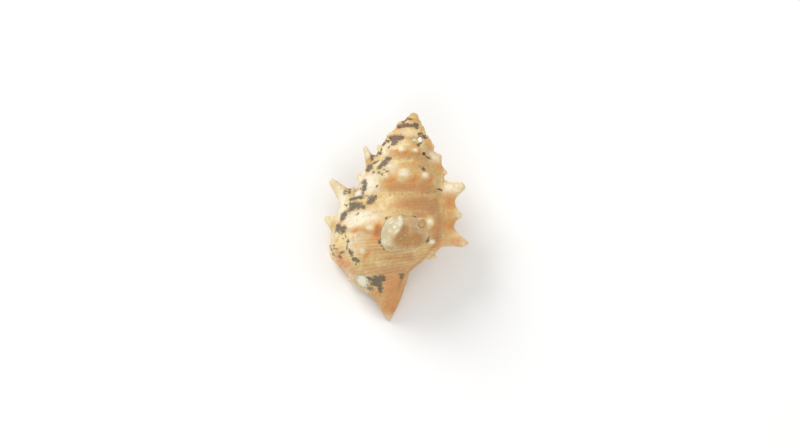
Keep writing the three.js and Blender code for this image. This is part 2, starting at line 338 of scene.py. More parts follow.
        # Below the last suture a smooth curve leads over from the whorl's slope to the neck's
        x = (depth - column.bottom) / length
        slope = (rise - self.swell_power * swell / (1 - UPPER_KNOBS)) / span
        neck = self.neck(column.bottom + length)
        neck_slope = (self.neck(column.bottom + length + 0.1) - neck) / 0.1
        down = 2 * x**3 - 3 * x**2 + 1
        leave = (x**3 - 2 * x**2 + x) * length * slope
        arrive = (x**3 - x**2) * length * neck_slope
        return down * column.bottom_radius + leave + (1 - down) * neck + arrive

    def row_depth(self, column: Column, row: float) -> float:
        """Depth of a row of the smooth whorl.

        Args:
            column: the turn's shared values.
            row: place across the band, base or canal.

        Returns:
            The depth in millimetres.
        """
        if row <= 1:
            return mix(column.top, column.bottom, row)
        if row <= self.canal_join_row:
            return mix(column.bottom, self.canal_join, (row - 1) / (self.canal_join_row - 1))
        share = (row - self.canal_join_row) / (2 - self.canal_join_row)
        return mix(self.canal_join, self.length, share)

    def flanged(self, column: Column, row: float) -> tuple[float, float]:
        """The skin with its varix flanges, before knobs and spines.

        Args:
            column: the turn's shared values.
            row: place across the band, base or canal.

        Returns:
            Depth and radius.
        """
        across = min(1.0, row)
        above = column.above * (1 - across) ** 3
        below = column.below * across**5 * (1 - smooth((row - 1) / 0.25))
        depth = self.row_depth(column, row)
        radius = self.whorl_radius(column, depth) + self.climb_swell * (above + below)
        lower = row >= SPINE_ROW
        first, last = (SPINE_ROW, LOWER_KNOBS) if lower else (ANAL_ROW, SPINE_ROW)
        dip = math.sin(math.pi * clamp01((row - first) / (last - first))) ** 2
        shape = math.sin(math.pi / 2 * min(1.0, row / 0.3))
        for varix, height in column.flanges:
            start, end = varix.fade
            height *= shape * (1 - varix.dips[lower] * dip)
            radius += height * (1 - smooth((row - start) / (end - start)))
        return depth - self.climb_rise * (above + below), radius

    def knob(self, turn: float, row: float) -> float:
        """Share of a regular knob's full height at a point.

        Args:
            turn: where on the coil.
            row: place across the band.

        Returns:
            The share, 0 on the early turns and beside a varix.
        """
        nearest = round((turn - self.varix_offset) / self.knob_step)
        centre = self.varix_offset + nearest * self.knob_step
        if nearest % 5 == 0 or centre < self.knobs_from:
            return 0.0
        along = (turn - centre) / self.knob_width
        upper = math.hypot(along, (row - UPPER_KNOBS) / self.upper_knob_height)
        share = math.exp(-(upper**1.8)) if upper < 4 else 0.0
        if centre > self.lower_knobs_from:
            below = (row - LOWER_KNOBS - 0.02) / self.lower_knob_height
            lower = math.hypot(along * 1.15, below)
            share += 0.75 * math.exp(-(lower**1.8)) if lower < 4 else 0.0
        return share

    def place(self, turn: float, depth: float, radius: float) -> Vector:
        """Turn, depth and radius to a point round the coiling axis.

        Args:
            turn: where on the coil.
            depth: distance below the apex along the coiling axis.
            radius: distance from the axis.

        Returns:
            The point in millimetres, with the bend of the canal's tip.
        """
        angle = FULL_TURN * turn
        across, up = self.canal_bend
        reach = self.length - self.canal_bend_start
        bend = max(0.0, (depth - self.canal_bend_start) / reach) ** 2
        height = radius * math.sin(angle) * (self.belly_flatness if math.sin(angle) < 0 else 1)
        return Vector((across * bend + radius * math.cos(angle), -depth, up * bend + height))


@dataclass(frozen=True)
class RestPose:
    """How the shell lies on the ground: canal tip down, apex raised, mouth below."""

    tilt: float = math.radians(18)
    apex_side: float = 0.34
    apex_height: float = 25.29

    def matrix(self) -> Matrix:
        """The shell's own frame in the model's frame.

        Returns:
            The matrix from millimetres round the coiling axis to metres.
        """
        _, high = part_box("conch_shell")
        turn = Matrix.Rotation(self.tilt, 4, "X")
        apex = Vector((self.apex_side * MM, high.y, self.apex_height * MM))
        return Matrix.Translation(apex) @ turn @ Matrix.Scale(MM, 4)

    def point(self, x: float, depth: float, height: float) -> Vector:
        """A place beside the coiling axis, given in millimetres, in the frame."""
        return self.matrix() @ Vector((x, -depth, height))

    def direction(self, x: float, along: float, up: float) -> Vector:
        """A direction beside the coiling axis in the frame."""
        turned = Matrix.Rotation(self.tilt, 3, "X") @ Vector((x, along, up))
        return turned.normalized()


@dataclass(frozen=True)
class Relief:
    """Fine raised detail of the skin.

    Dents and the knobs on the back are in millimetres. The other heights are in millimetres for
    each millimetre of whorl size.
    """

    cords: int = 7
    cord_height: float = 0.0024
    cord_sway: float = 0.004
    knob_height: float = 0.05
    fold_height: float = 0.0026
    bead_height: float = 0.006
    bead_row: float = 0.035
    beads: int = 62
    dent_height: float = 0.12
    back_knob_height: float = 1.45
    lip_turn: float = LIP_TURN

    def strand(self, column: Column, row: float, depth: float) -> float:
        """Place across the spiral cords, which run down the canal faster than the rows do.

        Args:
            column: the turn's shared values.
            row: place across the band, base or canal.
            depth: the row's depth.

        Returns:
            The row itself on the band, and a number that grows with the depth below it.
        """
        if row <= 1:
            return row
        return 1 + (depth - column.bottom) / (0.75 * column.scale)

    def quiet(self, turn: float, row: float) -> float:
        """Share of the detail that is left near a seam of the skin.

        Args:
            turn: where on the coil.
            row: place across the band, base or canal.

        Returns:
            0 on the seam itself, and 1 away from it.
        """
        after = clamp01((turn - self.lip_turn + 1) / 0.02)
        before = clamp01((self.lip_turn - turn) / 0.02)
        share = smooth(row / 0.03) * mix(smooth(abs(row - 1) / 0.03), 1.0, after)
        return share * mix(1.0, after * before, smooth((row - 1.5) / 0.15))

    def height(self, column: Column, row: float, depth: float) -> float:
        """Height of the cords, beads and growth folds at a point.

        Args:
            column: the turn's shared values.
            row: place across the band, base or canal.
            depth: the row's depth.

        Returns:
            The height in millimetres.
        """
        strand = self.strand(column, row, depth)
        swayed = strand + self.cord_sway * math.sin(90 * column.turn)
        wave = 0.5 + 0.5 * math.cos(FULL_TURN * self.cords * swayed)
        lower, late = smooth((row - 0.6) / 0.3), smooth((column.turn - 4.3) / 0.4)
        bold = mix(0.2, 1.0, lower) * mix(0.3, 1.0, late)
        uneven = 0.75 + 0.5 * noise.noise(Vector((column.turn * 6, strand * 5, 2.0)))
        total = self.cord_height * bold * uneven * wave**1.3
        bead = max(0.0, math.cos(FULL_TURN * self.beads * column.turn))
        total += self.bead_height * bead * bell((row - self.bead_row) / 0.022)
        folds = noise.noise(Vector((column.turn * 46, row * 0.7, 5.0)))
        folds += 0.7 * noise.noise(Vector((column.turn * 18, row * 2.0, 9.0)))
        total += self.fold_height * folds * clamp01(row / 0.1)
        tip = 1 - smooth((row - 1.6) / 0.35)
        return total * column.scale * tip * self.quiet(column.turn, row)


@dataclass(frozen=True)
class Pit:
    """A small hollow in the back: its place as x and depth, its size and how deep it goes."""

    x: float
    depth: float
    width: float
    height: float
    sink: float


PITS = (
    Pit(12.3, 26.3, 1.9, 0.7, 1.1),
    Pit(5.6, 14.0, 0.8, 0.6, 0.5),
    Pit(7.4, 15.4, 1.2, 0.45, 0.6),
    Pit(6.1, 19.4, 1.0, 0.6, 0.5),
    Pit(2.9, 18.0, 0.5, 0.5, 0.3),
)


@dataclass(frozen=True)
class Knob:
    """A rounded knob on the back: its place as x and depth, its half sizes and its rise.

    The rise is a share of the relief's back_knob_height, or millimetres on the valve. Painted
    shade lies in brown on the lower right of a knob, at the offset below in half sizes.
    """

    x: float
    depth: float
    half_width: float
    half_height: float
    rise: float

    # Offset of the painted shade in half sizes to the right and below, its strength, and the least
    # rise that has it
    SHADE_OFFSET = (0.85, 0.6)
    PAINTED_SHADE_STRENGTH = 1.7
    PAINTED_SHADE_LEAST_RISE = 0.35

    def share(self, x: float, depth: float) -> float:
        """Share of the knob's rise at a place on the back.

        Args:
            x: place across the coiling axis.
            depth: place along it.

        Returns:
            The share, from 0 to 1.
        """
        across, along = (x - self.x) / self.half_width, (depth - self.depth) / self.half_height
        if abs(across) > 3 or abs(along) > 3:
            return 0.0
        return math.exp(-0.75 * math.hypot(across, along) ** 2.2)

    def top(self, x: float, depth: float) -> float:
        """How pale the knob's top is at a place on the back: worn pale, with a painted highlight.
        """
        return self.share(x, depth) * min(1.0, 0.3 + self.rise)

    def shade(self, x: float, depth: float) -> float:
        """Strength of the painted shade, in brown, on the lower right of the knob.

        Args:
            x: place across the coiling axis.
            depth: place along it.

        Returns:
            The strength, 0 beside the low knobs.
        """
        if self.rise < self.PAINTED_SHADE_LEAST_RISE:
            return 0.0
        right, below = self.SHADE_OFFSET
        # Painted shade: brown on the lower right of the knob, the side away from the light
        painted_shade = self.share(x - right * self.half_width, depth - below * self.half_height)
        return self.PAINTED_SHADE_STRENGTH * painted_shade * (1 - self.share(x, depth)) ** 2


KNOBS = (
    # Two small whorls near the apex
    Knob(-4.0, 7.6, 0.45, 0.45, 0.16),
    Knob(-2.9, 7.4, 0.42, 0.42, 0.16),
    Knob(-1.8, 7.3, 0.4, 0.4, 0.16),
    Knob(-0.6, 7.2, 0.4, 0.4, 0.16),
    Knob(0.6, 7.3, 0.36, 0.36, 0.14),
    # Third whorl
    Knob(-5.2, 13.6, 1.0, 0.9, 0.38),
    Knob(-2.6, 13.8, 1.5, 1.1, 0.75),
    Knob(2.4, 13.5, 1.1, 1.0, 0.78),
    # Whorl above the last one
    Knob(-7.2, 24.0, 2.1, 1.6, 0.62),
    Knob(-0.4, 22.1, 2.7, 2.1, 0.78),
    Knob(7.1, 21.9, 1.5, 1.5, 0.94),
    # Last whorl
    Knob(-22.3, 42.3, 1.5, 1.3, 0.38),
    Knob(-19.1, 43.2, 1.0, 0.8, 0.38),
    Knob(-16.4, 43.4, 1.7, 1.25, 0.94),
    Knob(-9.7, 42.8, 1.8, 1.35, 1.19),
    Knob(11.2, 37.8, 1.75, 1.6, 1.19),
    Knob(12.9, 44.5, 1.5, 1.2, 0.69),
    Knob(-10.7, 51.0, 1.3, 1.4, 1.12),
    Knob(7.8, 50.6, 1.6, 0.9, 0.2),
)


@dataclass(frozen=True)
class Piercing:
    """The kite-shaped hole worn right through the spire, as x, depth and half sizes."""

    x: float = 3.4
    depth: float = 9.2
    half_width: float = 0.95
    half_height: float = 1.2
    squareness: float = 1.3

    def reach(self, point: Vector) -> float:
        """How far out a point lies.

        Args:
            point: a point of the skin in millimetres.

        Returns:
            Less than 1 inside the hole, and more outside it.
        """
        across = abs(point.x - self.x) / self.half_width
        along = abs(point.y + self.depth) / self.half_height
        return (across**self.squareness + along**self.squareness) ** (1 / self.squareness)


class Mark(Enum):
    """What a mark on the shell is.

    The first four are the channels of the marks attribute. The red-brown mark, with painted shade
    beside the knobs, and the dark mark of the pits, with painted shadow at the valve's hole, are in
    the tints attribute, as its first and last channels. The mark of the stains also holds painted
    shadow at the valve's rim, the warm mark painted shade on the right side, and the pale mark
    painted light on the left side and painted highlights on the knob tops.
    """

    STAIN_AND_SHADOW = 0
    WARM = 1
    PALE = 2
    CRUST = 3
    RUST_AND_SHADE = 4
    DARK_AND_SHADOW = 5


@dataclass(frozen=True)
class Blotch:
    """One soft oval of a mark on the back: x and depth of its middle, half sizes and lean."""

    x: float
    depth: float
    half_width: float
    half_height: float
    lean: float = 0.0
    strength: float = 1.0

    def value(self, x: float, depth: float) -> float:
        """Strength of the mark at a place on the back.

        Args:
            x: place across the coiling axis.
            depth: place along it.

        Returns:
            The strength, from 0 at the edge to the mark's own in its middle.
        """
        dx, dy = x - self.x, depth - self.depth
        reach = 2.4 * max(self.half_width, self.half_height)
        if abs(dx) > reach or abs(dy) > reach:
            return 0.0
        lean = math.radians(self.lean)
        across = (dx * math.cos(lean) + dy * math.sin(lean)) / self.half_width
        along = (dy * math.cos(lean) - dx * math.sin(lean)) / self.half_height
        return self.strength * math.exp(-0.55 * (across * across + along * along))


# Places, half sizes, leans and strengths of the marks on the back, in the order of Blotch
SPOTS: dict[Mark, tuple[tuple[float, ...], ...]] = {
    Mark.STAIN_AND_SHADOW: (
        # Lines round the apex
        (-2.6, 3.2, 1.1, 0.2, -56, 0.9), (-1.2, 2.6, 0.75, 0.3, 2), (-3.3, 4.1, 0.4, 0.4),
        (-3.7, 5.5, 1.3, 0.6, -18), (-2.1, 5.0, 1.35, 0.5, -8), (-0.5, 4.8, 0.75, 0.45, 12),
        (1.2, 4.4, 0.75, 0.6), (1.7, 5.3, 0.45, 0.5), (3.2, 7.4, 0.75, 0.4, -28),
        (4.8, 8.1, 0.7, 0.5, 22),
        # Patch on the left of the third whorl
        (-5.7, 10.1, 1.25, 0.8, -8), (-3.7, 9.8, 1.25, 0.7, -8), (-5.4, 11.3, 0.9, 1.0, -38),
        (-5.9, 12.5, 0.7, 0.3, -34), (-7.0, 13.7, 0.6, 0.2, -64, 0.83), (-7.8, 11.4, 0.65, 0.4, 26),
        (-9.0, 12.6, 0.65, 0.4, -54), (-9.6, 14.9, 0.2, 0.6, 0, 0.9), (-10.0, 16.1, 0.65, 0.4),
        # Under the hole and beside the right knobs
        (3.4, 11.0, 0.85, 0.25, -34), (3.1, 11.6, 0.4, 0.3), (7.3, 15.3, 1.0, 0.2, 22, 0.9),
        (6.3, 19.7, 0.65, 0.5, 32), (5.0, 19.0, 0.8, 0.15, 22, 0.68),
        # Left edge and shoulder above the cream patch
        (-12.5, 18.1, 0.5, 1.1, 6), (-11.7, 17.2, 0.8, 0.25, -8), (-11.1, 19.7, 1.05, 0.3, -34),
        (-12.8, 21.6, 0.95, 0.95), (-13.3, 22.6, 0.65, 0.75, 12), (-10.1, 16.4, 0.75, 0.25),
        (-6.9, 18.1, 1.0, 0.8, -44), (-7.7, 19.5, 1.1, 0.85, -48), (-8.9, 20.9, 1.2, 0.65, -44),
        (-11.1, 23.3, 0.35, 0.55, 0, 0.8), (-9.2, 23.0, 0.45, 0.4, 0, 0.74),
        (-8.5, 23.6, 0.8, 0.25, -8, 0.8), (-7.5, 21.9, 0.35, 0.25, 0, 0.85),
        (-6.4, 22.4, 0.65, 0.3, -44, 0.8), (-7.5, 24.1, 0.7, 0.25, 0, 0.7),
        # Beside the cream patch
        (-13.7, 27.3, 0.8, 0.8), (-13.4, 29.0, 0.7, 1.2), (-14.2, 29.9, 0.75, 0.3, 22),
        (-13.8, 31.3, 0.45, 0.5), (-9.2, 28.1, 0.3, 0.4),
        # At the foot of the upper left spine
        (-20.7, 30.3, 0.5, 0.35, 0, 0.8), (-19.6, 31.3, 0.9, 0.6, -8, 0.62),
        (-18.6, 30.3, 0.35, 0.5, 0, 0.8), (-18.6, 31.6, 0.4, 0.5, 0, 0.85),
        (-20.5, 32.3, 0.5, 0.4, 0, 0.85), (-16.9, 30.7, 0.4, 0.2, -38, 0.8),
        # Broad patches along the left suture
        (-12.4, 31.9, 1.3, 0.1, -8, 0.9), (-14.8, 32.9, 1.3, 0.45, -8),
        (-17.0, 33.6, 1.5, 0.5, -28), (-18.4, 34.4, 0.6, 0.2, -38), (-10.2, 33.0, 1.25, 1.0, -38),
        (-11.0, 34.1, 0.8, 0.7), (-9.3, 31.9, 0.55, 0.45, -38), (-7.6, 31.7, 0.5, 0.15, 0, 0.8),
        (-16.7, 35.7, 1.05, 0.7, -8), (-15.1, 35.8, 1.55, 1.05, -8), (-16.8, 37.1, 1.4, 0.7, -34),
        (-13.0, 36.1, 1.0, 0.55, 16), (-19.2, 36.2, 0.5, 0.4, 0, 0.8),
        (-14.5, 38.8, 0.8, 0.2, -58, 0.85),
        # Down the left flank
        (-19.2, 39.5, 0.8, 0.8), (-19.5, 40.7, 0.65, 1.0), (-19.6, 40.5, 0.8, 1.55, 2),
        (-20.6, 44.1, 0.7, 0.7), (-19.7, 44.9, 1.25, 0.7, -8), (-18.6, 44.5, 0.7, 0.8),
        (-18.8, 45.5, 0.85, 0.5, 22), (-21.4, 45.3, 0.45, 0.85, 0, 0.8),
        (-20.2, 46.0, 0.5, 0.45, 0, 0.8), (-19.2, 46.6, 0.3, 0.35, 0, 0.8),
        (-16.3, 48.7, 0.45, 0.5), (-17.5, 47.2, 0.2, 0.9, -28, 0.83),
        (-18.3, 48.1, 0.55, 0.15, 0, 0.8), (-16.4, 50.8, 0.25, 1.25, 0, 0.8),
        (-21.3, 51.1, 0.35, 0.35, 0, 0.85), (-22.7, 51.5, 0.2, 0.6, 0, 0.9),
        (-22.1, 52.7, 0.55, 0.25, 42, 0.9), (-20.6, 52.2, 0.7, 0.2, 0, 0.8),
        (-18.1, 53.1, 0.9, 0.45, -28, 0.8), (-18.5, 54.8, 0.7, 0.4, 12, 0.85),
        (-14.8, 52.4, 0.6, 0.9, -34), (-14.2, 53.4, 0.45, 0.45), (-13.0, 54.7, 1.05, 0.7, -8),
        (-12.1, 54.9, 0.85, 0.45, 16), (-12.3, 56.0, 0.2, 0.7, 0, 0.8),
        (-21.2, 54.2, 0.35, 0.8, -34, 0.78),
        # Beside the chalky crust on the base
        (-4.5, 60.7, 1.9, 1.05, -8), (-3.1, 59.9, 1.6, 0.95, -8), (-4.5, 62.0, 1.5, 0.8, -8),
        (-2.8, 63.0, 0.7, 1.5, -24), (-2.3, 64.5, 0.55, 0.45), (-6.9, 60.8, 0.95, 0.65, -8, 0.9),
        (-6.1, 64.2, 1.05, 0.55, -8, 0.76), (-7.6, 64.1, 0.75, 0.55, 0, 0.68),
        # Right side of the canal
        (4.0, 57.8, 0.95, 0.9, 0, 0.8), (4.1, 58.9, 0.55, 0.3, 0, 0.74),
        # Painted shadow of the gap under the valve's rim
        (-4.0, 38.6, 0.8, 0.35, -34), (-5.1, 47.2, 0.5, 0.7, -44), (-3.7, 48.9, 0.25, 0.65, -38),
        (5.4, 36.7, 0.55, 0.25, 12), (11.1, 44.3, 0.9, 0.5, -58),
    ),
    Mark.WARM: (
        # Round the valve
        (8.6, 38.8, 1.4, 1.7, 0, 0.6), (7.4, 35.6, 3.2, 1.6, 0, 0.85),
        (6.2, 51.2, 3.0, 1.8, 0, 0.95),
        # Bands of the spire: orange-brown below the knobs, with painted shade on the slope under
        # them
        (-0.6, 15.6, 5.9, 1.4, -8, 0.8), (5.1, 17.9, 3.2, 1.8, -8, 0.6),
        (6.9, 12.2, 1.6, 3.2, -8, 0.5), (-0.1, 27.1, 7.5, 1.6, -8, 0.9),
        (7.4, 26.2, 3.75, 1.9, -8, 0.85),
        # Last whorl above and beside the valve: tan, deepened towards the right as painted shade
        (-0.6, 30.6, 8.0, 0.95, -8, 0.35), (6.1, 32.1, 7.5, 3.1, -8, 0.95),
        (11.1, 32.7, 2.45, 3.2, -8, 0.9), (1.0, 33.7, 3.2, 2.65, -8, 0.55),
        (13.8, 39.8, 2.35, 8.0, -8, 0.75), (12.0, 42.3, 1.8, 1.6, -8, 0.5),
        # Base and canal
        (-5.7, 50.9, 3.55, 2.65, -8, 0.6), (-6.3, 45.0, 2.35, 2.65, -8, 0.5),
        (0.5, 52.1, 9.1, 1.4, -8, 0.6), (8.0, 51.5, 3.75, 2.15, -44, 0.55),
        (1.1, 56.1, 9.1, 2.15, -16, 0.75), (3.5, 61.4, 4.8, 4.3, 2, 0.7),
        (-2.4, 65.5, 3.2, 3.2, 0, 0.5), (2.1, 68.1, 3.4, 4.8, -8, 0.8),
        (5.3, 55.7, 3.2, 1.6, -38, 0.6),
        # Left flank
        (-12.7, 43.8, 2.15, 0.75, -8, 0.4), (-12.5, 48.6, 3.2, 2.15, -8, 0.35),
        (-17.3, 45.0, 1.05, 1.6, -8, 0.3),
        # Right edge of the spire, deepened as painted shade on the right side
        (8.7, 20.1, 1.9, 3.2, -8, 0.3), (11.6, 21.8, 2.15, 2.65, -8, 0.4),
    ),
    Mark.PALE: (
        # Left flank: cream, with painted light on the lit left side
        (-13.8, 47.6, 3.6, 2.4, 0, 0.5), (-12.0, 45.6, 4.0, 1.2, 0, 0.45),
        # Spire
        (-1.9, 7.3, 3.75, 1.8, -8, 0.4), (-3.4, 11.6, 3.2, 1.6, -8, 0.4),
        (-7.6, 12.8, 1.6, 1.8, -8, 0.6), (-5.2, 14.0, 3.2, 0.85, -8, 0.4),
        (-8.2, 15.6, 1.6, 1.6, 0, 0.7), (-2.4, 18.5, 5.35, 1.4, -8, 0.2),
        (-0.9, 21.8, 5.2, 2.6, -8, 0.3),
        # Cream patch on the left shoulder
        (-11.9, 27.5, 2.65, 3.2, -8), (-10.6, 25.1, 2.15, 1.6, -8, 0.6),
        (-15.1, 23.6, 1.6, 1.6, 0, 0.8), (-15.8, 26.4, 1.6, 1.6, 0, 0.8),
        (-9.2, 20.0, 2.15, 1.3, -8, 0.45),
        # Left half of the last whorl: cream, with painted light on the lit left side
        (-13.7, 40.2, 5.9, 2.35, -18, 0.95), (-9.4, 36.8, 4.3, 1.6, -24, 0.45),
        (-4.3, 34.4, 3.2, 1.6, -18, 0.2), (-14.6, 45.2, 1.6, 2.65, -8, 0.55),
        (-9.7, 45.5, 2.65, 1.2, -8, 0.4), (-15.6, 49.6, 1.6, 2.65, -8, 0.55),
        (-13.7, 51.5, 1.6, 1.6, 0, 0.5), (-21.2, 40.8, 1.6, 1.6, 0, 0.7),
        (-21.6, 34.3, 1.9, 5.4, -8), (-23.9, 30.3, 2.65, 1.6, 22, 0.6),
        (-21.4, 53.8, 1.05, 2.65, -28, 0.5),
        # Right varix and its knobs
        (16.8, 24.6, 3.2, 2.0, -14, 0.8), (14.9, 25.6, 2.15, 1.4, -28, 0.3),
        (9.4, 14.0, 1.8, 1.4, 2, 1.0), (10.7, 15.4, 1.05, 2.15, -28, 0.5),
        (15.7, 30.9, 0.65, 3.2, -24, 0.15), (19.5, 34.4, 1.6, 0.85, -8, 0.3),
        (12.9, 44.8, 1.6, 0.85, -8, 0.3),
        # Tip of the canal
        (1.7, 73.6, 2.2, 2.0, 0, 0.65),
        # Small pale spots
        (8.8, 16.2, 1.6, 1.4, 0, 0.4), (-5.6, 20.6, 2.4, 2.2, 0, 0.6),
        (-14.6, 61.2, 1.8, 2.4, -30, 0.9), (-20.6, 55.0, 1.2, 2.2, -30, 0.6),
        (-14.4, 16.2, 1.0, 2.0, 0, 0.8), (-20.2, 38.4, 1.8, 2.4, 0, 0.65),
        (-21.4, 47.6, 1.6, 3.2, 0, 0.5), (-17.0, 29.4, 2.4, 1.6, 0, 0.5),
    ),
    Mark.CRUST: (
        # Chalky patch on the base
        (-9.4, 62.0, 2.05, 1.6, 12), (-9.9, 60.7, 1.6, 0.75, -8, 0.9),
        (-8.1, 63.7, 1.05, 1.05, 0, 0.7),
        # At the upper left spine
        (-15.6, 31.3, 1.35, 1.0, -28, 0.95), (-16.6, 32.4, 1.0, 0.5, -8, 0.6),
        (-17.3, 34.7, 0.7, 0.3, -28, 0.7),
        # Chips and small crusts
        (1.5, 10.0, 0.55, 0.95, -38, 0.8), (4.4, 9.1, 0.4, 0.55, 0, 0.75),
        (-6.3, 9.2, 0.4, 0.25, 0, 0.6), (-11.4, 18.6, 0.45, 0.7, 0, 0.6),
        (-17.8, 38.9, 0.7, 0.4, -28, 0.5), (-11.8, 45.8, 0.6, 0.4, 32, 0.6),
    ),
    Mark.RUST_AND_SHADE: (
        # Red-brown hollow between the knob and the valve, deepened with painted shade beside the
        # knob
        (-6.4, 43.8, 1.8, 2.6, 0, 1.3), (-6.6, 42.8, 1.4, 1.8, 0, 1.5),
        (-6.6, 45.6, 1.8, 2.0, 0, 0.8), (-9.4, 44.4, 3.4, 1.2, 0, 0.6),
        # Orange base and canal
        (1.2, 61.0, 3.6, 3.6, 0, 0.75), (-3.6, 66.0, 2.6, 2.6, 0, 0.6),
        (1.4, 69.2, 3.2, 3.8, 0, 0.85), (2.6, 65.0, 2.0, 3.0, 0, 0.7),
        (1.4, 73.6, 1.6, 1.4, 0, 0.2), (-17.4, 56.4, 3.2, 2.0, 30, 0.9),
        # Right flank and its lowest spine
        (13.4, 17.0, 1.2, 2.6, -20, 0.5), (9.6, 12.6, 1.2, 2.2, -20, 0.5),
        (15.4, 36.2, 1.6, 5.4, -10, 0.4), (21.0, 42.8, 4.0, 1.6, -10, 0.75),
        (17.4, 34.6, 1.4, 1.4, 0, 0.4), (13.0, 41.0, 1.2, 3.4, -10, 0.45),
        (8.6, 38.8, 1.2, 1.5, 0, 0.35),
        # Bands of the spire: orange-brown below the knobs, with painted shade beside and under them
        (-5.3, 15.2, 1.4, 0.75, -8, 0.6), (-0.5, 14.8, 2.15, 0.85, -8, 0.6),
        (-2.8, 15.9, 3.2, 0.75, -8, 0.5), (2.6, 17.4, 0.3, 1.5, -10, 0.7),
        (2.5, 18.3, 0.55, 0.75, 0, 0.8), (-5.1, 25.8, 1.8, 0.85, -28, 0.45),
        (-1.3, 26.6, 3.2, 1.2, -8, 0.25), (3.2, 25.9, 1.8, 0.95, -8, 0.5),
        (-3.2, 27.3, 2.65, 1.6, -8, 0.35), (5.8, 26.4, 3.2, 1.2, -8, 0.6),
        (7.7, 27.8, 2.65, 0.75, -8, 0.5),
        # Right edge from the spire to the lowest spine
        (7.2, 10.6, 0.85, 3.2, -28, 0.55), (8.3, 10.4, 0.45, 2.65, -28, 0.5),
        (12.1, 17.9, 1.2, 1.8, 12, 0.7), (12.8, 18.9, 1.05, 1.4, -8, 0.6),
        (17.0, 30.1, 2.0, 2.8, -18, 0.85), (18.4, 32.7, 0.85, 1.6, -8, 0.6),
        (18.3, 38.4, 2.4, 2.8, -8, 0.8), (19.6, 37.4, 0.85, 1.05, -8, 0.5),
        (22.3, 44.3, 2.65, 0.75, -4, 0.6), (16.0, 43.8, 2.65, 0.85, -8, 0.5),
        (13.7, 46.3, 1.6, 1.05, -38, 0.6), (12.4, 30.9, 0.85, 2.15, -8, 0.55),
        # Lines near the apex and above the valve
        (-0.1, 33.9, 1.4, 0.55, 2, 0.55), (-6.2, 7.6, 0.45, 1.8, -34, 0.6),
        (-5.0, 6.4, 1.4, 0.55, -48, 0.6), (3.7, 5.1, 0.45, 1.9, 12, 0.5),
        # Round the knobs and the valve: painted shade on the lower right of the knobs, with
        # red-brown by the valve
        (-15.0, 43.8, 0.8, 1.1, -24, 0.7), (-15.4, 44.7, 0.85, 0.5, 22, 0.6),
        (-7.0, 42.7, 1.2, 1.0, -8, 0.9), (-6.4, 43.9, 0.85, 1.35, 2),
        (-8.6, 43.9, 1.0, 0.5, -8, 0.6), (-9.4, 43.0, 2.4, 1.4, 0, 0.75),
        (-16.0, 43.6, 2.6, 1.2, 0, 0.55), (7.4, 35.8, 2.6, 1.0, 0, 0.4),
        (-6.4, 41.3, 1.0, 0.7, -38, 0.8), (-8.3, 41.1, 0.35, 0.35, 0, 0.4),
        (-12.4, 46.4, 0.7, 0.25, 0, 0.5), (-9.1, 51.9, 0.7, 0.6, -28, 0.75),
        (-9.6, 52.5, 0.7, 0.35, 0, 0.5),
        # Left flank and edge
        (-20.6, 49.0, 0.5, 0.7, 16, 0.8), (-20.9, 49.7, 0.4, 0.25, 0, 0.8),
        (-19.0, 51.7, 0.85, 0.7, -8, 0.45), (-16.6, 53.7, 1.0, 0.85, -8, 0.5),
        (-15.9, 56.7, 1.4, 1.2, 22, 0.8), (-13.6, 59.3, 1.6, 1.2, 12, 0.75),
        (-14.8, 60.3, 1.4, 1.6, 12, 0.55), (-12.8, 62.5, 1.8, 0.95, 2, 0.4),
        # Base and canal
        (-8.2, 58.8, 3.2, 0.5, -16, 0.5), (-3.3, 55.9, 6.4, 0.5, -16, 0.35),
        (2.5, 70.0, 2.2, 2.6, -8, 0.95), (1.1, 67.1, 3.2, 3.2, 0, 0.45),
        (3.4, 64.1, 1.6, 3.2, 2, 0.4),
        # Small touches
        (-6.1, 55.2, 3.2, 0.55, -8, 0.3), (9.9, 49.9, 2.65, 0.65, -28, 0.45),
        (-23.8, 41.7, 0.65, 0.75, 0, 0.5), (-22.1, 42.0, 0.75, 1.05, 0, 0.35),
    ),
    Mark.DARK_AND_SHADOW: (
        # Pits of the back
        (5.5, 14.2, 0.65, 0.7, 0, 1.6), (12.8, 25.8, 1.25, 0.35, 6, 1.5),
        (13.8, 26.2, 0.45, 0.2, 12, 1.6),
        # Painted shadow of the gap under the valve's rim, at its hole
        (6.9, 37.7, 0.4, 0.2, 22, 1.3), (9.6, 38.3, 0.2, 1.1, -20, 1.3),
        (8.2, 37.1, 1.1, 0.15, -8, 1.2),
    ),
}
BLOTCHES = {mark: tuple(Blotch(*spot) for spot in spots) for mark, spots in SPOTS.items()}


Spike = tuple[float, Spine, tuple[float, float]]


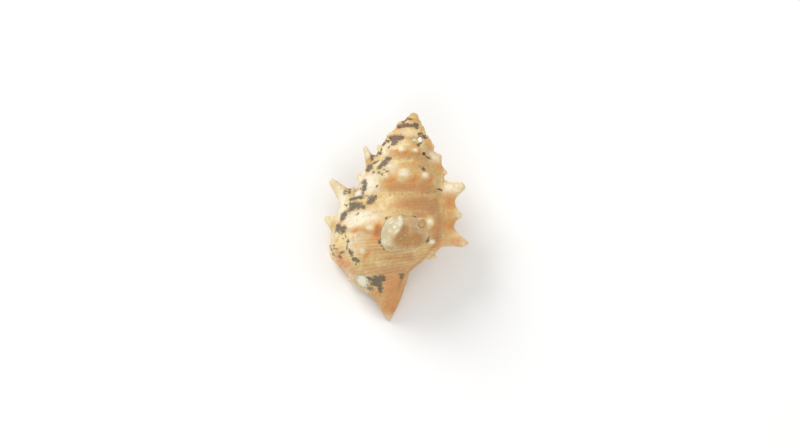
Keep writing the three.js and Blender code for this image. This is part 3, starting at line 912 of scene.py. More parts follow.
class ShellBody:
    """The frog shell itself: skin, base, apex, mouth, hollow and the hole through its spire."""

    # The grid: rows across the band, the base, the canal's tip and the apex, and inner rings
    FIRST_TURN = -0.925
    COARSE_BEFORE = 2.035
    BAND_ROWS = 88
    COARSE_ROWS = 4
    BASE_ROWS = 70
    TIP_ROWS = 18
    DOME_ROWS = 9
    WELD = 0.002
    CHAMBER_START = 4.08
    CHAMBER_RINGS = 44
    # Turns ahead of the lip's edge and share of the way in, round the rolled lip
    LIP_ROUNDING = ((0.0022, 0.1), (0.0042, 0.3), (0.0048, 0.55), (0.0034, 0.8), (0.0, 1.0))
    # A spine reaches this many turns to each side, and has a small dome on a hollow slope
    SPINE_TURNS = 0.06
    SPINE_TIP = 0.28
    SPINE_SLOPE = 1.9
    TIP_FOOT = 0.95
    TIP_DOME = 0.05
    # The shelf beside a large varix: its rise, its step and the crease below the step, in turns
    SHELVES_FROM = 2.9
    SHELF_STEP = 0.043
    CREASE_STEP = 0.055
    LATE_VARICES = 4.9
    SHELF_RISE = (0.01, 0.03)
    # The open groove of the canal: turn and width at its start and end, and its depth
    GROOVE_START = 61.0
    GROOVE_TURNS = (0.592, 0.625)
    GROOVE_WIDTHS = (1.5, 0.7)
    GROOVE_SHARE = 0.55

    def __init__(self, law: GrowthLaw, relief: Relief, piercing: Piercing) -> None:
        """Keep the form and open an empty mesh.

        Args:
            law: growth law of the whorls.
            relief: fine detail of the skin.
            piercing: the hole through the spire.
        """
        self.law = law
        self.relief = relief
        self.piercing = piercing
        self.bm = bmesh.new()
        self.coil = self.bm.loops.layers.uv.new("coil")
        floats = self.bm.verts.layers.float
        self.turn_of = floats.new("turn")
        self.row_of = floats.new("row")
        self.strand_of = floats.new("strand")
        self.inside_of = floats.new("inside")
        self.spikes = tuple(self._spikes())

    def _spikes(self) -> list[Spike]:
        """List the spines.

        Returns:
            Each spine with the turn of its crest and the place of its foot.
        """
        spikes = []
        for varix in VARICES:
            turn = varix.turn + self.law.varix_offset
            column = self.law.column(turn)
            for spine in varix.spines:
                spikes.append((turn, spine, self.law.flanged(column, spine.row)))
        return spikes

    def _stations(self, first: float, last: float) -> list[float]:
        """Turns of the grid's columns: close together at each varix, wider between them.

        Args:
            first: lowest turn.
            last: highest turn.

        Returns:
            The turns in order.
        """
        pattern = [-0.03 + 0.0025 * i for i in range(24)]
        pattern += [0.03, 0.035, 0.04, 0.048, 0.056, 0.063, 0.07, 0.076]
        pattern += [0.08 + 0.003 * i for i in range(18)]
        pattern += [0.136 + 0.334 * i / 40 for i in range(40)]
        turns = []
        for half in range(-3, 13):
            for step in pattern:
                turn = half / 2 + self.law.varix_offset + step
                if first - 1e-6 < turn < last + 1e-6:
                    turns.append(turn)
        return turns

    def _spine_share(self, column: Column, row: float, spike: Spike) -> float:
        """Share of a spine's full reach at a point.

        Args:
            column: shared values of the point's turn.
            row: place across the band or base.
            spike: the spine with its crest and foot.

        Returns:
            0 at the edge of its foot and 1 at its tip.
        """
        crest, spine, (_, foot_radius) = spike
        if abs(column.turn - crest) > self.SPINE_TURNS:
            return 0.0
        along = (column.turn - crest) * FULL_TURN * foot_radius / spine.foot
        rows = column.bottom - column.top
        if row > 1:
            rows = (self.law.canal_join - column.bottom) / (self.law.canal_join_row - 1)
        across = (row - spine.row) * rows / spine.foot
        spread, tip = math.hypot(along, across), self.SPINE_TIP
        if spread >= 1:
            return 0.0
        if spread < tip:
            share = self.TIP_FOOT + self.TIP_DOME * math.sqrt(1 - (spread / tip) ** 2)
        else:
            share = self.TIP_FOOT * ((1 - spread) / (1 - tip)) ** self.SPINE_SLOPE
        return share * smooth(row / 0.09)

    def _step_turn(self, start: float, row: float) -> float:
        """Turns from a varix to the edge of its shelf or to the crease, later on the base."""
        return start + 0.05 * smooth((row - 0.75) / 0.5)

    def _shelf_rows(self, row: float) -> float:
        """Share of the shelf's height at a row: none at the suture and low on the base."""
        return smooth((row - 0.03) / 0.15) * (1 - smooth((row - 1.3) / 0.3))

    def _shelf(self, column: Column, row: float) -> float:
        """Height of the low shelf that ends in a step on the newer side of each large varix.

        Args:
            column: shared values of the point's turn.
            row: place across the band or base.

        Returns:
            The height in millimetres.
        """
        total = 0.0
        for varix in VARICES:
            past = column.turn - varix.turn - self.law.varix_offset
            if varix.turn < self.SHELVES_FROM or not -0.05 < past < 0.25:
                continue
            step = self._step_turn(self.SHELF_STEP, row)
            rise = smooth((past + 0.03) / 0.06) * (1 - smooth((past - step) / 0.014))
            height = self.SHELF_RISE[varix.turn > self.LATE_VARICES]
            total += height * column.scale * rise * self._shelf_rows(row)
        return total * self.relief.quiet(column.turn, row)

    def _crease(self, turn: float, row: float) -> float:
        """Strength of the fine crease at the foot of each late shelf's step, a groove with painted
        shade in it.

        Args:
            turn: where on the coil.
            row: place across the band or base.

        Returns:
            The strength, from 0 to 1.
        """
        if turn <= self.LATE_VARICES:
            return 0.0
        past = (turn - self.law.varix_offset + 0.05) % 0.5 - 0.05
        away = past - self._step_turn(self.CREASE_STEP, row)
        return bell(away / 0.007) * self._shelf_rows(row)

    def _callus(self, turn: float, row: float) -> float:
        """Thickness of the glaze that spreads from the mouth over the belly.

        Args:
            turn: where on the coil.
            row: place across the base.

        Returns:
            The thickness in millimetres.
        """
        past = turn - (self.law.lip_turn - 1)
        if past > 0.3 or row < 1:
            return 0.0
        edge = 0.1 + 0.02 * noise.noise(Vector((row * 9, 3.0, 1.0)))
        rows = smooth((row - 1) / 0.06) * (1 - smooth((row - 1.5) / 0.2))
        return self.law.wall / 2 * rows * (1 - smooth(past / edge))

    def _groove(self, turn: float, depth: float) -> float:
        """How deep the open canal is cut into the neck at a point.

        Args:
            turn: where on the coil.
            depth: distance below the apex.

        Returns:
            The cut in millimetres.
        """
        start, end = self.GROOVE_START, self.law.length
        if depth <= start:
            return 0.0
        share = (depth - start) / (end - start)
        neck = self.law.neck(depth)
        around = (turn - mix(*self.GROOVE_TURNS, share) + 0.5) % 1.0 - 0.5
        away = around * FULL_TURN * max(neck, 0.5) / mix(*self.GROOVE_WIDTHS, share)
        return self.GROOVE_SHARE * neck * smooth((depth - start) / 4) * bell(away)

    def skin(self, column: Column, row: float) -> Vector:
        """Place of a point of the skin in millimetres round the coiling axis.

        Args:
            column: shared values of the point's turn.
            row: place across the band, base or canal.

        Returns:
            The point with flanges, spines, knobs and fine relief.
        """
        turn = column.turn
        depth, radius = self.law.flanged(column, row)
        detail = self.relief.height(column, row, depth)
        radius += self._shelf(column, row)
        reach = 0.0
        for spike in self.spikes:
            share = self._spine_share(column, row, spike)
            if share > 0:
                _, spine, (foot_depth, foot_radius) = spike
                depth += (spine.depth - foot_depth) * share
                radius += (spine.radius - foot_radius) * share
                reach = max(reach, share)
        radius += detail * (1 - 0.7 * reach)
        if row > 1:
            radius += self._callus(turn, row) - self._groove(turn, depth)
        point = self.law.place(turn, depth, radius)
        outward = Vector((point.x, 0, point.z))
        if outward.length > 1e-6:
            dents = noise.noise(point * 0.16) + 0.4 * noise.noise(point * 0.5)
            lift = self.relief.dent_height * dents * clamp01(depth / 12) * clamp01((radius - 1) / 4)
            back = smooth((point.z + 1) / 3)
            if back:
                knobs = sum(knob.rise * knob.share(point.x, -point.y) for knob in KNOBS)
                lift += self.relief.back_knob_height * back * knobs
            if back < 1 and row <= 1:
                regular = self.relief.knob_height * self.law.knob(turn, row)
                lift += (1 - back) * column.scale * regular
            point += outward.normalized() * lift
        if point.z > 0:
            for pit in PITS:
                away = math.hypot((point.x - pit.x) / pit.width, (point.y + pit.depth) / pit.height)
                point.z -= pit.sink * bell(away)
        return point

    def _grid(self, columns: int, rows: int) -> list[list[bmesh.types.BMVert]]:
        """Add a flat grid to the mesh.

        Args:
            columns: vertices along it.
            rows: vertices across it.

        Returns:
            Its vertices by column and row.
        """
        made = bmesh.ops.create_grid(self.bm, x_segments=columns - 1, y_segments=rows - 1, size=1.0)
        verts = made["verts"]
        return [verts[i::columns] for i in range(columns)]

    def _note(
        self, vert: bmesh.types.BMVert, turn: float, row: float, strand: float, inside: float
    ) -> None:
        """Note where a vertex lies on the coil.

        Args:
            vert: the vertex.
            turn: its turn.
            row: its row.
            strand: its place across the spiral cords.
            inside: 0 on the skin, up to 1 round the lip and up to 2 at the end of the hollow.
        """
        vert[self.turn_of] = turn
        vert[self.row_of] = row
        vert[self.strand_of] = strand
        vert[self.inside_of] = inside

    def _lay_coil(self, faces: list[bmesh.types.BMFace]) -> None:
        """Write the turn and the strand of each corner to the coil map.

        Args:
            faces: the faces to write.
        """
        for face in faces:
            for loop in face.loops:
                loop[self.coil].uv = (loop.vert[self.turn_of], loop.vert[self.strand_of])

    def build_band(self) -> None:
        """Make the skin of every whorl, with fewer rows on the small whorls of the spire."""
        turns = self._stations(self.FIRST_TURN, self.law.lip_turn)
        spare = set()
        for turn, verts in zip(turns, self._grid(len(turns), self.BAND_ROWS + 1)):
            column = self.law.column(turn)
            coarse = turn < self.COARSE_BEFORE - 1e-6
            for index, vert in enumerate(verts):
                row = index / self.BAND_ROWS
                self._note(vert, turn, row, row, 0.0)
                if coarse and index % self.COARSE_ROWS:
                    spare.add(vert)
                else:
                    vert.co = self.skin(column, row)
        edges = []
        for edge in self.bm.edges:
            first, second = edge.verts
            if (first in spare or second in spare) and first[self.row_of] == second[self.row_of]:
                edges.append(edge)
        bmesh.ops.dissolve_edges(self.bm, edges=edges, use_verts=True)

    def _base_rows(self) -> list[float]:
        """Rows of the base and canal skin.

        Returns:
            The rows in order, from 1 to 2.
        """
        join = self.law.canal_join_row
        rows = [mix(1.0, join, i / self.BASE_ROWS) for i in range(self.BASE_ROWS)]
        return rows + [mix(join, 2.0, i / self.TIP_ROWS) for i in range(self.TIP_ROWS + 1)]

    def build_base(self) -> None:
        """Make the skin of the base and canal below the last whorl."""
        law = self.law
        turns = self._stations(law.lip_turn - 1, law.lip_turn)
        rows = self._base_rows()
        for turn, verts in zip(turns, self._grid(len(turns), len(rows))):
            column = law.column(turn)
            for row, vert in zip(rows, verts):
                vert.co = self.skin(column, row)
                strand = self.relief.strand(column, row, law.row_depth(column, row))
                self._note(vert, turn, row, strand, 0.0)

    def build_apex(self) -> None:
        """Close the first turn with a small dome."""
        kept = self.BAND_ROWS // self.COARSE_ROWS
        rim = [(turn, 0.0) for turn in self._stations(self.FIRST_TURN, self.FIRST_TURN + 1)]
        rim += [(self.FIRST_TURN, index / kept) for index in range(kept - 1, -1, -1)]
        for (turn, row), verts in zip(rim, self._grid(len(rim), self.DOME_ROWS)):
            start = self.skin(self.law.column(turn), row)
            for index, vert in enumerate(verts):
                angle = math.pi / 2 * index / (self.DOME_ROWS - 1)
                narrow = math.cos(angle)
                vert.co = (start.x * narrow, start.y * (1 - math.sin(angle)), start.z * narrow)
                self._note(vert, turn, row, row, 0.0)

    def _section(self, turn: float, share: float, outer_side: bool) -> tuple[float, float]:
        """A point of the hollow's section at a turn.

        Args:
            turn: where the section is cut.
            share: 0 at the top of the section and 1 at its bottom.
            outer_side: True for the outer wall, False for the columella.

        Returns:
            Its depth and radius.
        """
        law = self.law
        column, before = law.column(turn), law.column(turn - 1)
        wall = law.wall * column.scale / law.scale_at(law.lip_turn)
        bottom = column.bottom + 0.55 * column.base_length
        depth = mix(column.top + wall, bottom, share)
        outer = law.whorl_radius(column, depth) - wall
        inner = law.whorl_radius(before, depth) + wall / 2
        side = (1 - (1 - 2 * share) ** 2) ** 0.35 * (1 if outer_side else -1)
        return depth, (outer + inner) / 2 + side * max(0.3, outer - inner) / 2

    def _mouth_rim(self) -> list[tuple[float, float, float]]:
        """Go round the mouth, down the outer lip and up the columella.

        Returns:
            Turn, row and share of the mouth's height of each point.
        """
        law = self.law
        join = law.canal_join_row
        base = [row for row in self._base_rows() if row < join - 1e-6]
        band = [i / self.BAND_ROWS for i in range(self.BAND_ROWS + 1)]
        top, bottom = law.suture_depth(law.lip_turn), law.canal_join
        rim = []
        sides = ((law.lip_turn, band + base[1:] + [join]), (law.lip_turn - 1, base[::-1]))
        for turn, rows in sides:
            column = law.column(turn)
            for row in rows:
                share = clamp01((law.row_depth(column, row) - top) / (bottom - top))
                rim.append((turn, row, share))
        return rim

    def _teeth(self, share: float, back: float, outer_side: bool) -> float:
        """Height of the teeth inside the lip, or of the folds on the columella.

        Args:
            share: place from the top to the bottom of the mouth.
            back: turns behind the lip.
            outer_side: True on the outer lip.

        Returns:
            How far the wall stands into the mouth, in millimetres.
        """
        if outer_side:
            ridge = max(0.0, math.cos(FULL_TURN * share * 13)) ** 1.5
            rows = smooth((share - 0.08) / 0.08) * (1 - smooth((share - 0.82) / 0.1))
            return 0.75 * ridge * rows * bell((back - 0.008) / 0.016)
        ridge = max(0.0, math.cos(FULL_TURN * share * 19)) ** 2
        rows = smooth((share - 0.3) / 0.15) * (1 - smooth((share - 0.9) / 0.08))
        return 0.32 * ridge * rows * bell((back - 0.012) / 0.03)

    def build_mouth(self) -> None:
        """Roll the lip inwards and line the hollow with wall, teeth and columella."""
        law = self.law
        rim = self._mouth_rim()
        rings = 1 + len(self.LIP_ROUNDING) + self.CHAMBER_RINGS + 1
        columns = {turn: law.column(turn) for turn in (law.lip_turn, law.lip_turn - 1)}
        sides = [self._section(self.CHAMBER_START, 0.5, outer) for outer in (True, False)]
        end = law.place(self.CHAMBER_START, sides[0][0], (sides[0][1] + sides[1][1]) / 2)
        for (turn, row, share), verts in zip(rim, self._grid(len(rim), rings)):
            outer_side = turn == law.lip_turn
            column = columns[turn]
            depth, radius = law.flanged(column, row)
            strand = self.relief.strand(column, row, law.row_depth(column, row))
            radius += 0.0 if outer_side else self._callus(turn, row)
            goal_depth, goal_radius = self._section(law.lip_turn, share, outer_side)
            path = [(self.skin(column, row), turn, 0.0)]
            for ahead, inset in self.LIP_ROUNDING:
                forward = ahead * clamp01(abs(radius - goal_radius) / 1.2)
                forward *= 1.0 if outer_side else mix(1.0, 0.3, smooth(share / 0.1))
                at = (mix(depth, goal_depth, inset), mix(radius, goal_radius, inset))
                path.append((law.place(law.lip_turn + forward, *at), turn, inset))
            for ring in range(1, self.CHAMBER_RINGS + 1):
                along = (ring / self.CHAMBER_RINGS) ** 1.5
                at_turn = mix(law.lip_turn, self.CHAMBER_START, along)
                at_depth, at_radius = self._section(at_turn, share, outer_side)
                bump = self._teeth(share, law.lip_turn - at_turn, outer_side)
                at_radius += -bump if outer_side else bump
                path.append((law.place(at_turn, at_depth, at_radius), at_turn, 1.0 + along))
            path.append((end, self.CHAMBER_START, 2.0))
            for vert, (place, at_turn, inside) in zip(verts, path):
                vert.co = place
                self._note(vert, at_turn, row, strand, inside)

    def weld(self) -> None:
        """Join the grids along their shared edges and turn all faces outwards."""
        self._lay_coil(list(self.bm.faces))
        ends = [vert for vert in self.bm.verts if vert.is_boundary]
        bmesh.ops.remove_doubles(self.bm, verts=ends, dist=self.WELD)
        bmesh.ops.recalc_face_normals(self.bm, faces=list(self.bm.faces))
        loose = sum(not edge.is_manifold for edge in self.bm.edges)
        LOG.info("shell: %d faces, %d open edges", len(self.bm.faces), loose)

    def pierce(self) -> None:
        """Cut the small hole through the spire, from the back to the belly."""
        hole = self.piercing
        doomed = [f for f in self.bm.faces if hole.reach(f.calc_center_median()) < 1]
        bmesh.ops.delete(self.bm, geom=doomed, context="FACES")
        rim = [edge for edge in self.bm.edges if edge.is_boundary]
        for vert in {vert for edge in rim for vert in edge.verts}:
            stretch = 1 / max(1e-6, hole.reach(vert.co))
            vert.co.x = hole.x + (vert.co.x - hole.x) * stretch
            vert.co.y = -hole.depth + (vert.co.y + hole.depth) * stretch
        walls = bmesh.ops.bridge_loops(self.bm, edges=rim)["faces"]
        self._lay_coil(walls)
        bmesh.ops.recalc_face_normals(self.bm, faces=list(self.bm.faces))

    def _belly_warmth(self, turn: float, row: float) -> float:
        """Orange shade of the side that the mouth is on, in bands below the knobs.

        Args:
            turn: where on the coil.
            row: place across the band or base.

        Returns:
            The shade, from 0 to 1.
        """
        bands = 0.6 * bell((row - 0.66) / 0.1) + 0.5 * bell((row - 1.05) / 0.12)
        patches = noise.noise(Vector((turn * 9, row * 4, 4.0)))
        return clamp01(bands + 0.15 + 0.4 * patches)

    def _belly_stain(self, point: Vector) -> float:
        """Dark growth on the side that the mouth is on, in a few loose patches."""
        patches = noise.noise(point * 0.13 + Vector((7.0, 3.0, 1.0)))
        return clamp01(1.25 * patches - 0.08)

    def _glaze(self, turn: float, row: float, inside: float) -> float:
        """Share of the smooth glaze of the mouth at a point.

        Args:
            turn: where on the coil.
            row: place across the band or base.
            inside: how far in the point lies, 0 on the skin.

        Returns:
            The share, from 0 to 1.
        """
        if inside > 0:
            return 1.0
        past = turn - (self.law.lip_turn - 1)
        if past > 0.14 or row < 1:
            return 0.0
        rows = smooth((row - 1) / 0.05) * (1 - smooth((row - 1.5) / 0.25))
        edge = 0.075 + 0.02 * noise.noise(Vector((row * 9, 3.0, 1.0)))
        return rows * (1 - smooth((past - edge) / 0.02))

    def _paint(self, point: Vector, back: float) -> dict[Mark, float]:
        """Mix the marks of the back at a point.

        Args:
            point: the point in millimetres round the coiling axis.
            back: share of the back's marks.

        Returns:
            The strength of each mark.
        """
        x, depth = point.x, -point.y
        paint = dict.fromkeys(Mark, 0.0)
        if back:
            for mark, spots in BLOTCHES.items():
                paint[mark] = max(spot.value(x, depth) for spot in spots)
            paint[Mark.STAIN_AND_SHADOW] *= 1.0 + 0.3 * smooth((18 - depth) / 6)
            paint = {mark: strength * back for mark, strength in paint.items()}
            # Painted shade beside the knobs joins the red-brown mark
            shade = max(knob.shade(x, depth) for knob in KNOBS)
            paint[Mark.RUST_AND_SHADE] = max(paint[Mark.RUST_AND_SHADE], back * shade)
        return paint

    def dress(self, mesh: bpy.types.Mesh) -> None:
        """Write the marks, zones and tints of every vertex to the mesh's attributes.

        Args:
            mesh: the finished mesh, still in millimetres round the coiling axis.
        """
        names = ("marks", "zones", "tints")
        for name in names:
            mesh.attributes.new(name, "FLOAT_COLOR", "POINT")
        marks, zones, tints = (mesh.attributes[name].data for name in names)
        noted = [mesh.attributes[name].data for name in ("turn", "row", "inside")]
        for index, vert in enumerate(mesh.vertices):
            turn, row, inside = (layer[index].value for layer in noted)
            column = self.law.column(turn)
            skin = inside <= 0
            back = smooth((vert.co.z + 6.0) / 4.0) if skin else 0.0
            belly = 1 - back if skin else 0.0
            paint = self._paint(vert.co, back)
            paint[Mark.WARM] += belly * self._belly_warmth(turn, row)
            paint[Mark.STAIN_AND_SHADOW] += belly * self._belly_stain(vert.co)

            # Knobs and spines are worn pale, with a painted highlight on the knob tops, and keep
            # less of the warm colours
            knob = belly * self.law.knob(turn, row) if row <= 1 else 0.0
            if back:
                knob = max(knob, back * max(one.top(vert.co.x, -vert.co.y) for one in KNOBS))
            spine = max(self._spine_share(column, row, spike) for spike in self.spikes)
            paint[Mark.RUST_AND_SHADE] *= 1 - 0.8 * clamp01(knob)
            paint[Mark.WARM] *= 1 - 0.4 * clamp01(knob)
            tops = max(0.85 * knob**2, 0.5 * clamp01(2 * spine))
            paint[Mark.PALE] = max(paint[Mark.PALE], tops)
            bare = max(clamp01(3 * spine), 1 - smooth((-vert.co.y - 5) / 4), clamp01(knob))

            seam = bell(row / 0.025)
            if turn < self.law.lip_turn - 1:
                seam += bell((row - 1) / 0.02)
            seam *= smooth((-vert.co.y - 3) / 3)
            glaze = self._glaze(turn, row, inside)
            crease = self._crease(turn, row) if skin else 0.0
            marks[index].color = [paint[mark] for mark in Mark][:4]
            zones[index].color = (clamp01(inside - 1), glaze, clamp01(seam), 1.0)
            tints[index].color = (paint[Mark.RUST_AND_SHADE], bare, crease, paint[Mark.DARK_AND_SHADOW])
        for name in ("turn", "row", "strand", "inside"):
            mesh.attributes.remove(mesh.attributes[name])

    def build(self) -> bpy.types.Mesh:
        """Build the whole shell.

        Returns:
            Its mesh, in millimetres round the coiling axis.
        """
        self.build_band()
        self.build_base()
        self.build_apex()
        self.build_mouth()
        self.weld()
        self.pierce()
        mesh = bpy.data.meshes.new("frog_shell")
        self.bm.to_mesh(mesh)
        self.dress(mesh)
        return mesh


@dataclass(frozen=True)
class JingleValve:
    """The thin valve of a jingle shell grown onto the back, with the round hole for its foot.

    Its outline, ridge, hole, lumps and brown patches are places on the back, as x and depth.
    """

    outline: tuple[tuple[float, float], ...] = (
        (-5.2, 43.3), (-4.1, 39.5), (-1.1, 37.1), (2.5, 36.4), (5.9, 37.0), (8.2, 36.8),
        (9.7, 38.0), (10.5, 40.4), (11.2, 42.6), (10.4, 45.2), (7.8, 47.6), (4.3, 49.0),
        (0.8, 49.8), (-2.0, 50.1), (-3.8, 48.8), (-5.1, 46.4),
    )
    ridge: tuple[tuple[float, float], ...] = (
        (1.0, 38.0), (1.3, 40.2), (0.6, 42.3), (-0.3, 44.4), (-0.5, 46.8),
    )
    notch: tuple[float, float] = (8.5, 38.7)
    notch_size: tuple[float, float] = (1.15, 1.5)
    lumps: tuple[Knob, ...] = (
        Knob(1.1, 39.3, 1.0, 2.0, 0.3),
        Knob(-3.4, 41.2, 1.1, 0.7, 0.22),
        Knob(-4.4, 42.3, 0.7, 0.8, 0.18),
        Knob(-1.0, 42.6, 1.3, 1.3, 0.12),
        Knob(-2.1, 48.0, 1.9, 1.0, 0.25),
        Knob(-0.6, 46.3, 1.3, 1.0, 0.16),
        Knob(3.6, 46.5, 1.0, 0.5, 0.2),
        Knob(8.5, 45.9, 1.1, 0.7, 0.22),
        Knob(4.8, 39.4, 1.3, 1.2, 0.18),
        Knob(8.4, 42.4, 1.0, 1.2, 0.16),
        Knob(5.3, 48.0, 2.2, 0.5, 0.12),
        Knob(3.0, 43.0, 1.8, 1.3, -0.25),
        Knob(6.4, 43.6, 1.4, 1.4, -0.12),
    )
    # Brown patches; those right of the ridge are also painted shade of its steep side
    browns_and_shade: tuple[Blotch, ...] = (
        Blotch(2.9, 41.8, 1.5, 1.8, 0, 1.15),
        Blotch(3.2, 45.2, 3.2, 2.8, 0, 1.25),
        Blotch(6.0, 41.4, 1.8, 1.4, 0, 0.8),
        Blotch(7.2, 44.6, 3.2, 2.8, 0, 1.15),
        Blotch(2.1, 48.7, 3.2, 0.8, 0, 0.6),
        Blotch(8.6, 40.4, 2.4, 2.2, 0, 0.7),
        Blotch(9.6, 43.0, 1.6, 2.0, 0, 0.6),
        Blotch(5.2, 38.6, 3.2, 1.8, 0, 0.6),
        Blotch(-1.0, 38.2, 3.2, 1.0, -35, 0.45),
        Blotch(2.4, 37.0, 4.2, 0.8, 0, 0.6),
        Blotch(-1.1, 48.8, 2.4, 0.9, 0, 0.6),
    )
    ridge_height: float = 1.3
    ridge_widths: tuple[float, float] = (2.1, 0.9)
    thickness: float = 0.85
    rim_thickness: float = 0.3
    clearance: float = 0.14
    raggedness: float = 0.16
    waves: float = 0.3
    columns: int = 150
    rows: int = 40

    def edge(self, share: float) -> Vector:
        """Point of the outer edge, on a smooth closed curve through the outline.

        Args:
            share: share of the way round.

        Returns:
            Its x and depth.
        """
        count = len(self.outline)
        at = share * count
        index, t = int(at), at - int(at)
        a, b, c, d = (Vector(self.outline[(index + k) % count]) for k in (-1, 0, 1, 2))
        slope, curve = c - a, 2 * a - 5 * b + 4 * c - d
        point = 0.5 * (2 * b + slope * t + curve * t * t + (3 * b - a - 3 * c + d) * t**3)
        ragged = noise.noise(Vector((point.x * 1.6, point.y * 1.6, 3.0)))
        middle = Vector((1.5, 42.0))
        return point + (point - middle).normalized() * self.raggedness * ragged

    def notch_edge(self, towards: Vector) -> Vector:
        """Point of the hole's edge that faces a point of the outer edge.

        Args:
            towards: the point of the outer edge.

        Returns:
            Its x and depth.
        """
        (x, depth), (width, height) = self.notch, self.notch_size
        angle = math.atan2(towards.y - depth, towards.x - x)
        return Vector((x + width * math.cos(angle), depth + height * math.sin(angle)))

    def ridge_at(self, place: Vector) -> float:
        """Height of the fold that runs down the valve, steeper on its right side.

        Args:
            place: x and depth.

        Returns:
            The height in millimetres.
        """
        best, side = 1e9, 1.0
        for first, last in zip(self.ridge, self.ridge[1:]):
            start, along = Vector(first), Vector(last) - Vector(first)
            share = clamp01((place - start).dot(along) / along.length_squared)
            offset = place - start - along * share
            if offset.length < best:
                best, side = offset.length, math.copysign(1.0, offset.x)
        fall = 1 - 0.45 * smooth((place.y - 41.5) / 6)
        return self.ridge_height * fall * bell(best / self.ridge_widths[side > 0])

    def build(self, ground: BVHTree) -> bpy.types.Mesh:
        """Build the valve over the shell's skin, from the hole's edge out to the rim and back.

        Args:
            ground: the shell's surface, in millimetres round the coiling axis.

        Returns:
            The valve's mesh in the same units.
        """

        def surface(x: float, depth: float) -> float:
            """Height of the shell's skin."""
            hit = ground.ray_cast(Vector((x, -depth, 60.0)), Vector((0, 0, -1)))[0]
            return hit.z if hit else 0.0

        def bed_at(place: Vector) -> float:
            """Even out the skin's fine relief under the valve.

            Args:
                place: the place across and down the coiling axis.

            Returns:
                The height that the underside lies at.
            """
            near, around = surface(place.x, place.y), 0.0
            for k in range(6):
                around += surface(place.x + 1.3 * math.cos(k), place.y + 1.3 * math.sin(k))
            return max(near, 0.4 * near + 0.1 * around) + self.clearance

        bm = bmesh.new()
        growth = bm.verts.layers.float.new("growth")
        tone = bm.verts.layers.float.new("tone")
        grid = bmesh.ops.create_grid(
            bm, x_segments=self.columns, y_segments=2 * self.rows, size=1.0
        )["verts"]
        width = self.columns + 1
        for column in range(width):
            outer = self.edge(column / self.columns)
            inner = self.notch_edge(outer)
            for row, vert in enumerate(grid[column::width]):
                upper = row <= self.rows
                share = row / self.rows if upper else 2 - row / self.rows
                place = inner.lerp(outer, share)
                bed = bed_at(place)
                brown = max(patch.value(place.x, place.y) for patch in self.browns_and_shade)
                if upper:
                    fade = min(1.0, (place - inner).length / 2.2, (place - outer).length / 2.6)
                    waves = self.waves * noise.noise(Vector((place.x * 0.7, place.y * 0.7, 1.0)))
                    lumps = sum(lump.rise * lump.share(place.x, place.y) for lump in self.lumps)
                    ridge = self.ridge_at(place)
                    body = mix(self.rim_thickness, self.thickness, smooth(fade))
                    body += smooth(fade) * (ridge + waves + lumps)
                    bed += body
                    # Painted highlight: less brown, so paler, along the ridge's crest
                    brown -= 0.5 * smooth((ridge - 0.8) / 0.55)
                rounding = 1 - smooth(min(share, 1 - share) / 0.02)
                bed -= 0.5 * self.rim_thickness * (1 if upper else -1) * rounding
                vert.co = (place.x, -place.y, bed)
                vert[growth] = share
                vert[tone] = brown
        ends = [vert for vert in bm.verts if vert.is_boundary]
        bmesh.ops.remove_doubles(bm, verts=ends, dist=ShellBody.WELD)
        bmesh.ops.recalc_face_normals(bm, faces=list(bm.faces))
        loose = sum(not edge.is_manifold for edge in bm.edges)
        LOG.info("valve: %d faces, %d open edges", len(bm.faces), loose)
        mesh = bpy.data.meshes.new("jingle_valve_shell")
        bm.to_mesh(mesh)
        return mesh


Socket = bpy.types.NodeSocket
Value = float | Socket
Colour = tuple[float, float, float]


def srgb(red: int, green: int, blue: int) -> Colour:
    """Turn a colour picked on a screen into linear light.

    Args:
        red: its red, from 0 to 255.
        green: its green.
        blue: its blue.

    Returns:
        The colour in linear light.
    """

    def linear(level: int) -> float:
        """Linear light of one channel."""
        level = level / 255
        return level / 12.92 if level <= 0.04045 else ((level + 0.055) / 1.055) ** 2.4

    return linear(red), linear(green), linear(blue)


